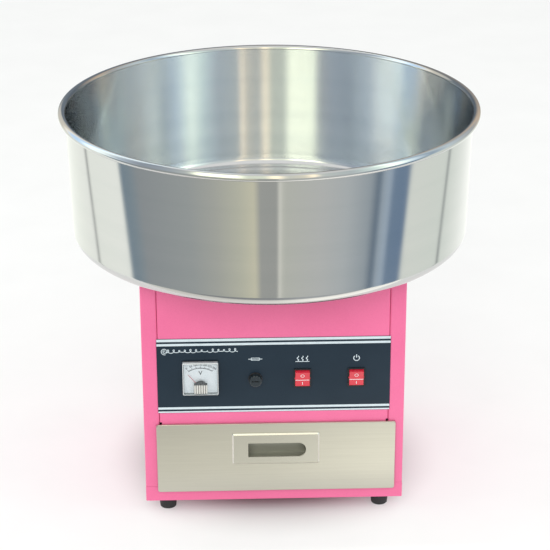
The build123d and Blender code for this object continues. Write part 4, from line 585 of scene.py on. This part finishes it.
def ringed_steel(name, roughs, stretch, tones, groove=0.0):
    """Steel with fine rings round Z: sharp along them, its reflections drawn out across them.

    stretch is how much, and groove how far the rings' ridges lean up and down, as a slope.
    """
    finish, shader = new_finish(
        name, Metallic=1.0, Anisotropic=stretch, Anisotropic_Rotation=0.25
    )
    place = place_on(finish)
    axes = axes_on(finish)
    flat = put(finish, "CombineXYZ", {"X": axes["X"], "Y": axes["Y"]}).outputs[0]
    reach = put(finish, "VectorMath", {0: flat}, operation="LENGTH").outputs["Value"]
    rings = put(finish, "CombineXYZ", {"X": reach, "Y": axes["Z"]}).outputs[0]
    fine = put(finish, "TexNoise", {"Vector": rings, "Scale": 900.0, "Detail": 2.0}).outputs[0]
    broad = put(finish, "TexNoise", {"Vector": rings, "Scale": 60.0, "Detail": 2.0}).outputs[0]
    cloud = put(finish, "TexNoise", {"Vector": place, "Scale": 14.0, "Detail": 2.0}).outputs[0]
    tone = ramp(finish, broad, [(0.3, tones[0]), (0.7, tones[1])])
    rough = put(
        finish,
        "MapRange",
        {"Value": cloud, "From Min": 0.3, "From Max": 0.7, "To Min": roughs[0], "To Max": roughs[1]},
    )
    if groove:
        # ridges finer than the eye resolves, which throw reflections up and down the wall
        phase = put(finish, "Math", {0: axes["Z"], 1: 2 * pi / GROOVE_PITCH}, operation="MULTIPLY")
        ridges = put(finish, "Math", {0: phase}, operation="SINE")
        lean = put(finish, "Math", {0: ridges, 1: groove}, operation="MULTIPLY")
        upright = put(finish, "NewGeometry").outputs["Normal"]
        upwards = put(finish, "CombineXYZ", {"Z": lean})
        tilted = put(finish, "VectorMath", {0: upright, 1: upwards}, operation="ADD")
        bump = put(finish, "VectorMath", {0: tilted}, operation="NORMALIZE")
    else:
        bump = put(finish, "Bump", {"Height": fine, "Strength": 0.25, "Distance": 0.00001})
    turned = put(finish, "VectorMath", {0: (0.0, 0.0, 1.0), 1: flat}, operation="CROSS_PRODUCT")
    around_axis = put(finish, "VectorMath", {0: turned}, operation="NORMALIZE")
    feed(finish, shader, Base_Color=tone, Roughness=rough, Normal=bump, Tangent=around_axis)
    return finish


polished = ringed_steel(
    "polished_steel", (0.07, 0.11), 0.6, ((0.625, 0.635, 0.625), (0.645, 0.65, 0.64))
)
# the inner wall's steel is tinted blue, a painted reflection of the blue seen along the inside of the
# bowl; its rings and stretched reflections are its real finish
brushed_inside = ringed_steel(
    "ring_brushed_steel",
    (0.09, 0.12),
    0.9,
    ((0.66, 0.69, 0.715), (0.70, 0.725, 0.745)),
    groove=0.34,
)
floor_steel = ringed_steel(
    "floor_steel", (0.08, 0.12), 0.3, ((0.70, 0.71, 0.71), (0.74, 0.745, 0.74))
)
wear(smoothed(bowl, crease=40.0), polished, "bowl_steel", "bowl", "bowl")
bowl.data.materials.append(brushed_inside)
bowl.data.materials.append(floor_steel)
INNER_WALL, FLOOR = 1, 2  # the places of the two finishes just added
for face in bowl.data.polygons:
    outwards = face.normal.x * face.center.x + face.normal.y * face.center.y
    if face.normal.z > 0.5 and face.center.z < floor_z + WALL_CORNER:
        face.material_index = FLOOR
    elif outwards < 0.0 and face.center.z < rim_centre[1]:
        face.material_index = INNER_WALL

# ---- spinning head --------------------------------------------------------------------------
# A turned aluminium base and cover with a band of slotted steel between them, round the heating
# element. Sugar goes in at the cover's mouth and leaves through the slots as threads.


def eased_copy(node, name, round_edges=0.0):
    """The CAD piece again, its triangles joined, its edges eased and its curves shaded smooth."""
    piece = bpy.data.objects.new(name, frame["nodes"][node].data.copy())
    bpy.context.collection.objects.link(piece)
    select_only(piece)
    bpy.ops.object.mode_set(mode="EDIT")
    bpy.ops.mesh.select_all(action="SELECT")
    bpy.ops.mesh.remove_doubles(threshold=WELD)
    bpy.ops.mesh.dissolve_limited(angle_limit=radians(0.5))
    bpy.ops.object.mode_set(mode="OBJECT")
    if round_edges:
        modified(
            piece,
            "BEVEL",
            width=round_edges,
            segments=3,
            limit_method="ANGLE",
            angle_limit=radians(CREASE),
        )
    smoothed(piece)
    return modified(piece, "WEIGHTED_NORMAL", keep_sharp=True)


turned_aluminium = textured_finish(
    "turned_aluminium",
    ((0.55, 0.56, 0.57), (0.68, 0.69, 0.70)),
    (0.2, 0.32),
    (0.002, 0.002, 0.0008),
    0.00001,
    Metallic=1.0,
)
for node in ("head_base", "head_cover", "sugar_dish"):
    wear(eased_copy(node, f"{node}_turned"), turned_aluminium, "cast_aluminium", "spinner", node)
dress(turned_aluminium, "cast_aluminium")
heat_tinted = textured_finish(
    "heat_tinted_steel",
    ((0.42, 0.36, 0.30), (0.58, 0.56, 0.54)),
    (0.25, 0.4),
    (0.003, 0.003, 0.0012),
    0.00001,
    Metallic=1.0,
)
wear(eased_copy("head_mesh", "head_band"), heat_tinted, "mesh_steel", "spinner", "head_mesh")

# ---- control plate --------------------------------------------------------------------------
# Dark blue printed film stuck to the front panel, with a pair of pale lines along the top and
# the bottom, a scroll ornament, and a small picture over the fuse and over each switch.
film = textured_finish(
    "navy_film",
    ((0.0100, 0.0230, 0.0380), (0.0130, 0.0280, 0.0450)),
    (0.26, 0.34),
    (0.0009, 0.0009, 0.0009),
    0.00001,
    drift=0.02,
    Specular_IOR_Level=0.3,
)
dress(film, "control_film")
film_low, film_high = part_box("control_overlay")
INK = 0.00006
LINE_INSET = 0.0002
# where each line starts and ends, down from the film's top edge or up from its bottom edge
UPPER_LINES = ((0.0004, 0.0038), (0.0064, 0.0094))
LOWER_LINES = ((0.0048, 0.0078), (0.0003, 0.0022))


def printed_line(low, high):
    """A flat printed line right across the film, its edges rounded."""
    left, right = film_low.x + LINE_INSET, film_high.x - LINE_INSET
    select_only()
    bpy.ops.mesh.primitive_cube_add(
        size=1.0,
        location=((left + right) / 2, film_low.y - INK / 2, (low + high) / 2),
        scale=(right - left, INK, high - low),
    )
    return modified(baked_in_place(bpy.context.object), "BEVEL", width=INK * 0.4, segments=2)


lines = [printed_line(film_high.z - end, film_high.z - start) for start, end in UPPER_LINES]
lines += [printed_line(film_low.z + start, film_low.z + end) for start, end in LOWER_LINES]
pale_ink = textured_finish(
    "pale_ink",
    ((0.56, 0.66, 0.71), (0.66, 0.75, 0.79)),
    (0.3, 0.42),
    (0.0005, 0.0005, 0.0005),
    0.000005,
)
wear(joined("plate_lines", lines), pale_ink, "control_film", "cabinet")


def stroke(points, width, closed=False, face_y=film_low.y):
    """A flat printed stroke through (x, z) points, on the film or on another upright face."""
    route = bpy.data.curves.new("stroke", "CURVE")
    route.dimensions = "3D"
    route.bevel_depth = width / 2
    route.bevel_resolution = 1
    route.use_fill_caps = True
    line = route.splines.new("POLY")
    line.points.add(len(points) - 1)
    for point, (x, z) in zip(line.points, points):
        point.co = (x, 0.0, z, 1.0)
    line.use_cyclic_u = closed
    mark = bpy.data.objects.new("stroke", route)
    bpy.context.collection.objects.link(mark)
    select_only(mark)
    bpy.ops.object.convert(target="MESH")
    mark = bpy.context.object
    mark.scale = (1.0, INK / width, 1.0)
    mark.location = (0.0, face_y, 0.0)
    return baked_in_place(mark)


def ring_of(centre, radius, start=0.0, end=360.0, steps=24):
    """Points round a centre, left open at the end of a full turn."""
    return arc(centre, radius, start, end, steps)[: steps if end - start >= 360 else None]


STROKE_WIDTH = 0.0010
BOLD_WIDTH = 0.00125

# the ornament: a run of loops in two lengths, like sugar drawn into threads
SCROLL_LEFT = -0.1315
SCROLL_RIGHT = -0.0435
SCROLL_Z = 0.2245
SCROLL_LOOPS = 13
SCROLL_HEIGHT = 0.0023
SCROLL_SWAY = 0.0022
SCROLL_RISE = 0.0006
SCROLL_STEPS = 260
scroll = []
for start, end in ((0.0, 0.56), (0.6, 1.0)):
    points = []
    for i in range(SCROLL_STEPS + 1):
        run = start + (end - start) * i / SCROLL_STEPS
        turn = run * SCROLL_LOOPS * 2 * pi
        swell = 0.8 + 0.25 * sin(turn * 0.27)
        points.append(
            (
                SCROLL_LEFT + (SCROLL_RIGHT - SCROLL_LEFT) * run + SCROLL_SWAY * sin(turn),
                SCROLL_Z + SCROLL_RISE * run - SCROLL_HEIGHT * swell * cos(turn),
            )
        )
    scroll.append(stroke(points, STROKE_WIDTH))
# and the swirl that it starts from
SWIRL_X = SCROLL_LEFT - 0.0012
SWIRL_INNER = 0.00066
SWIRL_OUTER = 0.0044
SWIRL_TURNS = 1.8
SWIRL_STEPS = 60
swirl = []
for i in range(SWIRL_STEPS + 1):
    opened = i / SWIRL_STEPS
    turn = opened * SWIRL_TURNS * 2 * pi
    reach = SWIRL_INNER + (SWIRL_OUTER - SWIRL_INNER) * opened
    swirl.append((SWIRL_X + reach * cos(turn), SCROLL_Z + reach * sin(turn)))
scroll.append(stroke(swirl, STROKE_WIDTH))
wear(joined("scroll_ornament", scroll), pale_ink, "control_film", "cabinet")


def middle_x(node):
    """The middle of a CAD node from side to side."""
    low_corner, high_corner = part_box(node)
    return (low_corner.x + high_corner.x) / 2


fuse_x, heat_x, power_x = (middle_x(node) for node in ("fuse_cap", "heat_rocker", "power_rocker"))
PICTURE_Z = 0.2125
PICTURE_HALF_WIDTH = 0.0085

# a fuse: a small box with a wire through it
BOX_HALF_WIDTH = 0.005
BOX_HALF_HEIGHT = 0.0016
box_corners = [
    (fuse_x + side * BOX_HALF_WIDTH, PICTURE_Z + level * BOX_HALF_HEIGHT)
    for side, level in ((-1, -1), (1, -1), (1, 1), (-1, 1))
]
wire = [(fuse_x + side * PICTURE_HALF_WIDTH, PICTURE_Z) for side in (-1, 1)]
picture = [stroke(box_corners, STROKE_WIDTH, closed=True), stroke(wire, STROKE_WIDTH)]
wear(joined("fuse_picture", picture), pale_ink, "control_film", "cabinet")

# heat: three waves rising from a line
WAVE_GAP = 0.0055
WAVE_SWAY = 0.0009
WAVE_FOOT = PICTURE_Z - 0.0034
WAVE_STEP = 0.00048
WAVE_POINTS = 15
HOT_LINE_Z = PICTURE_Z - 0.0042
picture = []
for offset in (-WAVE_GAP, 0.0, WAVE_GAP):
    wave = [
        (heat_x + offset + WAVE_SWAY * sin(i * pi / 5), WAVE_FOOT + i * WAVE_STEP)
        for i in range(WAVE_POINTS)
    ]
    picture.append(stroke(wave, BOLD_WIDTH))
hot_line = [(heat_x + side * PICTURE_HALF_WIDTH, HOT_LINE_Z) for side in (-1, 1)]
picture.append(stroke(hot_line, STROKE_WIDTH))
wear(joined("heat_picture", picture), pale_ink, "control_film", "cabinet")

# power: a ring, open at the top, with an upright bar in the opening
OPEN_RING_RADIUS = 0.0035
OPEN_RING_Z = PICTURE_Z - 0.0006
BAR_TOP_Z = PICTURE_Z + 0.0042
picture = [
    stroke(ring_of((power_x, OPEN_RING_Z), OPEN_RING_RADIUS, 125, 415), BOLD_WIDTH),
    stroke([(power_x, PICTURE_Z), (power_x, BAR_TOP_Z)], BOLD_WIDTH),
]
wear(joined("power_picture", picture), pale_ink, "control_film", "cabinet")

# ---- voltmeter ------------------------------------------------------------------------------
# A square moving-coil meter: black moulded case, printed white dial, a red needle, a black arch
# over the movement and a clear acrylic cover snapped over the front.
cover_low, cover_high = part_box("voltmeter_cover")
meter_x = middle_x("voltmeter_cover")
NEEDLE_PIVOT_Z = 0.177
black_moulding = textured_finish(
    "black_moulding",
    ((0.010, 0.010, 0.012), (0.02, 0.02, 0.023)),
    (0.22, 0.34),
    (0.0007, 0.0007, 0.0007),
    0.00002,
)
dress(black_moulding, "black_plastic", "meter_case")

# the arch is black, and the skirt below it is pale with upright streaks
SKIRT_TOP = 0.1805
ARCH_FOOT = 0.1820
STREAK_RATE = 2200.0  # radians per metre
ARCH_BLACK = (0.016, 0.015, 0.014, 1.0)
arch_finish, shader = new_finish("meter_arch", Roughness=0.22)
within = axes_on(arch_finish)
sideways = put(arch_finish, "Math", {0: within["X"], 1: STREAK_RATE}, operation="MULTIPLY")
streak = put(arch_finish, "Math", {0: sideways}, operation="SINE")
streak_share = put(arch_finish, "MapRange", {"Value": streak, "From Min": -1.0})
skirt_tone = ramp(
    arch_finish,
    streak_share,
    [(0.0, (0.20, 0.19, 0.17)), (0.5, (0.52, 0.50, 0.45)), (1.0, (0.86, 0.84, 0.78))],
)
up = put(
    arch_finish,
    "MapRange",
    {"Value": within["Z"], "From Min": SKIRT_TOP, "From Max": ARCH_FOOT},
)
arch_tone = put(
    arch_finish, "Mix", {"Factor": up, "A": skirt_tone, "B": ARCH_BLACK}, data_type="RGBA"
)
feed(arch_finish, shader, Base_Color=arch_tone.outputs["Result"])
wear(
    eased_copy("voltmeter_hub", "meter_arch", round_edges=0.00015),
    arch_finish,
    "black_plastic",
    "cabinet",
    "voltmeter_hub",
)

dial_white = textured_finish(
    "dial_white",
    ((0.66, 0.72, 0.75), (0.74, 0.79, 0.81)),
    (0.35, 0.5),
    (0.0006, 0.0006, 0.0006),
    0.000005,
)
dress(dial_white, "meter_dial")

dial_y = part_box("voltmeter_dial")[0].y
SCALE_RADIUS = 0.0257
SCALE_SWEEP = 33.5
SCALE_STROKE = 0.0007
TICKS = 30
TICKS_PER_NUMBER = 5
LONG_TICK = 0.0026
SHORT_TICK = 0.0013
FINE_STROKE = 0.0005
NUMBERS = ("0", "50", "100", "150", "200", "250", "300")
NUMBER_RADIUS = SCALE_RADIUS + 0.0048
NUMBER_SIZE = 0.0036
UNIT_SIZE = 0.0074
UNIT_Z = 0.1962
dial_ink = textured_finish(
    "dial_ink",
    ((0.012, 0.014, 0.018), (0.03, 0.033, 0.04)),
    (0.5, 0.6),
    (0.0004, 0.0004, 0.0004),
    0.000005,
)


def off_pivot(radius, lean):
    """A point of the dial this far from the needle's pivot, at a lean from upright in degrees."""
    return (
        meter_x + radius * cos(radians(90 + lean)),
        NEEDLE_PIVOT_Z + radius * sin(radians(90 + lean)),
    )


scale_arc = arc(
    (meter_x, NEEDLE_PIVOT_Z), SCALE_RADIUS, 90 + SCALE_SWEEP, 90 - SCALE_SWEEP, 24
)
marks = [stroke(scale_arc, SCALE_STROKE, face_y=dial_y)]
for i in range(TICKS + 1):
    lean = SCALE_SWEEP - 2 * SCALE_SWEEP * i / TICKS
    numbered = i % TICKS_PER_NUMBER == 0
    length = LONG_TICK if numbered else SHORT_TICK
    tick = [off_pivot(SCALE_RADIUS, lean), off_pivot(SCALE_RADIUS + length, lean)]
    marks.append(stroke(tick, SCALE_STROKE if numbered else FINE_STROKE, face_y=dial_y))


def lettered(text, place, size, lean=0.0):
    """A number or unit printed flat on the dial, its middle at an (x, z) place."""
    select_only()
    bpy.ops.object.text_add()
    mark = bpy.context.object
    mark.data.body = text
    mark.data.size = size
    mark.data.align_x = "CENTER"
    mark.data.align_y = "CENTER"
    mark.data.extrude = INK / 2
    mark.data.offset = size * 0.02
    mark.data.resolution_u = 3
    bpy.ops.object.convert(target="MESH")
    mark = bpy.context.object
    mark.rotation_euler = Euler((pi / 2, -radians(lean), 0.0))
    mark.location = (place[0], dial_y - INK / 2, place[1])
    return baked_in_place(mark)


for i, number in enumerate(NUMBERS):
    lean = SCALE_SWEEP - 2 * SCALE_SWEEP * i / (len(NUMBERS) - 1)
    marks.append(lettered(number, off_pivot(NUMBER_RADIUS, lean), NUMBER_SIZE, lean))
marks.append(lettered("V", (meter_x, UNIT_Z), UNIT_SIZE))
wear(joined("dial_scale", marks), dial_ink, "meter_dial", "cabinet")

needle_paint = textured_finish(
    "needle_paint",
    ((0.42, 0.03, 0.03), (0.52, 0.05, 0.045)),
    (0.35, 0.45),
    (0.0005, 0.0005, 0.0005),
    0.000005,
)
dress(needle_paint, "needle_red")

clear_cover, shader = new_finish(
    "clear_acrylic", Base_Color=(0.55, 0.62, 0.66, 1.0), IOR=1.49, Alpha=0.07
)
haze = put(
    clear_cover, "TexNoise", {"Vector": place_on(clear_cover), "Scale": 160.0, "Detail": 2.0}
)
smear = put(clear_cover, "MapRange", {"Value": haze, "To Min": 0.03, "To Max": 0.1})
feed(clear_cover, shader, Roughness=smear)
meter_window = eased_copy("voltmeter_cover", "meter_window", round_edges=0.0003)
wear(meter_window, clear_cover, "meter_cover", "cabinet", "voltmeter_cover")

# the cover's bevelled edge is coloured pale silver, a painted highlight for the bright edge of the
# clear acrylic
COVER_BEVEL = 0.0012
bevel_highlight = textured_finish(
    "bevel_highlight_edge",
    ((0.68, 0.73, 0.75), (0.76, 0.80, 0.81)),
    (0.22, 0.3),
    (0.004, 0.004, 0.004),
    0.000005,
    Metallic=0.4,
)
meter_window.data.materials.append(bevel_highlight)
for face in meter_window.data.polygons:
    middle = face.center
    near_side = min(middle.x - cover_low.x, cover_high.x - middle.x) < COVER_BEVEL
    near_end = min(middle.z - cover_low.z, cover_high.z - middle.z) < COVER_BEVEL
    if near_side or near_end:
        face.material_index = 1

# ---- fuse -----------------------------------------------------------------------------------
# A round black holder through the film, and the knurled cap that is turned and pulled out with
# the glass fuse in it.
glossy_black = textured_finish(
    "glossy_black",
    ((0.012, 0.020, 0.026), (0.016, 0.025, 0.031)),
    (0.16, 0.22),
    (0.002, 0.002, 0.002),
    0.000004,
    Coat_Weight=0.6,
    Coat_Roughness=0.12,
)
wear(
    eased_copy("fuse_cap", "fuse_cap_turned", round_edges=0.0002),
    glossy_black,
    "fuse_cap_plastic",
    "fuse_cap",
    "fuse_cap",
)
wear(
    eased_copy("fuse_holder", "fuse_holder_turned", round_edges=0.0002),
    black_moulding,
    "black_plastic",
    "cabinet",
    "fuse_holder",
)

# ---- switches -------------------------------------------------------------------------------
# Two snap-in rocker switches: a black bezel and body, and a glossy red rocker whose two faces
# meet in a crease, marked with a ring at the top and a bar at the bottom, with a pale line along
# the crease painted as a highlight.
red_gloss = textured_finish(
    "red_gloss",
    ((0.60, 0.012, 0.035), (0.68, 0.02, 0.05)),
    (0.1, 0.18),
    (0.0008, 0.0008, 0.0008),
    0.000005,
    Coat_Weight=0.6,
)
mark_and_highlight_ink = textured_finish(
    "mark_and_highlight_ink",
    ((0.80, 0.70, 0.70), (0.88, 0.80, 0.80)),
    (0.35, 0.45),
    (0.0005, 0.0005, 0.0005),
    0.000005,
)
ROCKER_PIVOT_Y = -0.151
ROCKER_PIVOT_Z = 0.1865
CREASE_OUT = 0.0021
CREASE_UP = -0.002
UPPER_LEAN = 16.55
LOWER_LEAN = -2.0
MARK_WIDTH = 0.0008
RING_MARK_RADIUS = 0.0021
RING_MARK_UP = 0.0042
BAR_MARK_HALF = 0.0019
BAR_MARK_UP = -0.0066
# the pale line along the crease, a painted highlight: its half length and its width
CREASE_HIGHLIGHT_HALF = 0.0085
CREASE_HIGHLIGHT_WIDTH = 0.0016


def on_rocker(mark, centre_x, up, lean):
    """A flat mark made round the origin laid on a rocker's upper or lower face."""
    mark.rotation_euler = Euler((radians(lean), 0.0, 0.0))
    mark.location = (
        centre_x,
        ROCKER_PIVOT_Y - CREASE_OUT - (up - CREASE_UP) * tan(radians(lean)),
        ROCKER_PIVOT_Z + up,
    )
    return baked_in_place(mark)


for kind, centre_x in (("heat", heat_x), ("power", power_x)):
    ring = stroke(ring_of((0.0, 0.0), RING_MARK_RADIUS), MARK_WIDTH, closed=True, face_y=0.0)
    bar = stroke([(0.0, -BAR_MARK_HALF), (0.0, BAR_MARK_HALF)], MARK_WIDTH, face_y=0.0)
    # a pale line along the crease, painted as the highlight the crease catches
    crease_highlight = stroke([(-CREASE_HIGHLIGHT_HALF, 0.0), (CREASE_HIGHLIGHT_HALF, 0.0)], CREASE_HIGHLIGHT_WIDTH, face_y=0.0)
    marks = [
        on_rocker(ring, centre_x, RING_MARK_UP, UPPER_LEAN),
        on_rocker(bar, centre_x, BAR_MARK_UP, LOWER_LEAN),
        on_rocker(crease_highlight, centre_x, CREASE_UP, LOWER_LEAN),
    ]
    wear(joined(f"{kind}_rocker_marks_and_highlight", marks), mark_and_highlight_ink, "red_plastic", f"{kind}_rocker")
    wear(
        eased_copy(f"{kind}_rocker", f"{kind}_rocker_moulded", round_edges=0.0004),
        red_gloss,
        "red_plastic",
        f"{kind}_rocker",
        f"{kind}_rocker",
    )
    wear(
        eased_copy(f"{kind}_switch_body", f"{kind}_bezel", round_edges=0.0003),
        black_moulding,
        "black_plastic",
        "cabinet",
        f"{kind}_switch_body",
    )

# ---- drawer ---------------------------------------------------------------------------------
# A folded stainless tray behind a thicker front, brushed from side to side. A cast zinc pull with
# a finger slot stands on the front, screwed on from inside.
brushed = textured_finish(
    "brushed_steel",
    ((0.56, 0.55, 0.475), (0.60, 0.59, 0.51)),
    (0.27, 0.31),
    (0.05, 0.05, 0.0007),
    0.000006,
    drift=0.3,
    Metallic=1.0,
)
dress(brushed, "drawer_steel")
front = eased_copy("drawer_front", "drawer_face", round_edges=0.0006)
wear(front, brushed, "drawer_steel", "drawer", "drawer_front")

# the casting is coloured bright along its edges, just behind its face, a painted highlight, and
# darker and rougher down in the finger slot, a painted shade
PULL_DEPTH = 0.0106
pull_face_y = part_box("drawer_pull")[0].y
zinc, shader = new_finish("recessed_zinc", Metallic=1.0)
sunk = put(
    zinc,
    "MapRange",
    {
        "Value": axes_on(zinc)["Y"],
        "From Min": pull_face_y,
        "From Max": pull_face_y + PULL_DEPTH,
    },
)
# painted highlight on the edges, painted shade down in the slot
zinc_highlight_and_shade = ramp(
    zinc,
    sunk,
    [
        (0.015, (0.53, 0.525, 0.46)),
        (0.04, (0.90, 0.89, 0.82)),
        (0.17, (0.86, 0.85, 0.78)),
        (0.24, (0.52, 0.51, 0.45)),
        (1.0, (0.46, 0.46, 0.41)),
    ],
)
zinc_rough = put(zinc, "MapRange", {"Value": sunk, "To Min": 0.24, "To Max": 0.5})
grains = put(zinc, "TexNoise", {"Vector": place_on(zinc), "Scale": 700.0, "Detail": 3.0})
zinc_bump = put(zinc, "Bump", {"Height": grains, "Strength": 0.3, "Distance": 0.00002})
feed(zinc, shader, Base_Color=zinc_highlight_and_shade, Roughness=zinc_rough, Normal=zinc_bump)
wear(
    eased_copy("drawer_pull", "drawer_pull_cast", round_edges=0.0005),
    zinc,
    "pull_casting",
    "drawer",
    "drawer_pull",
)
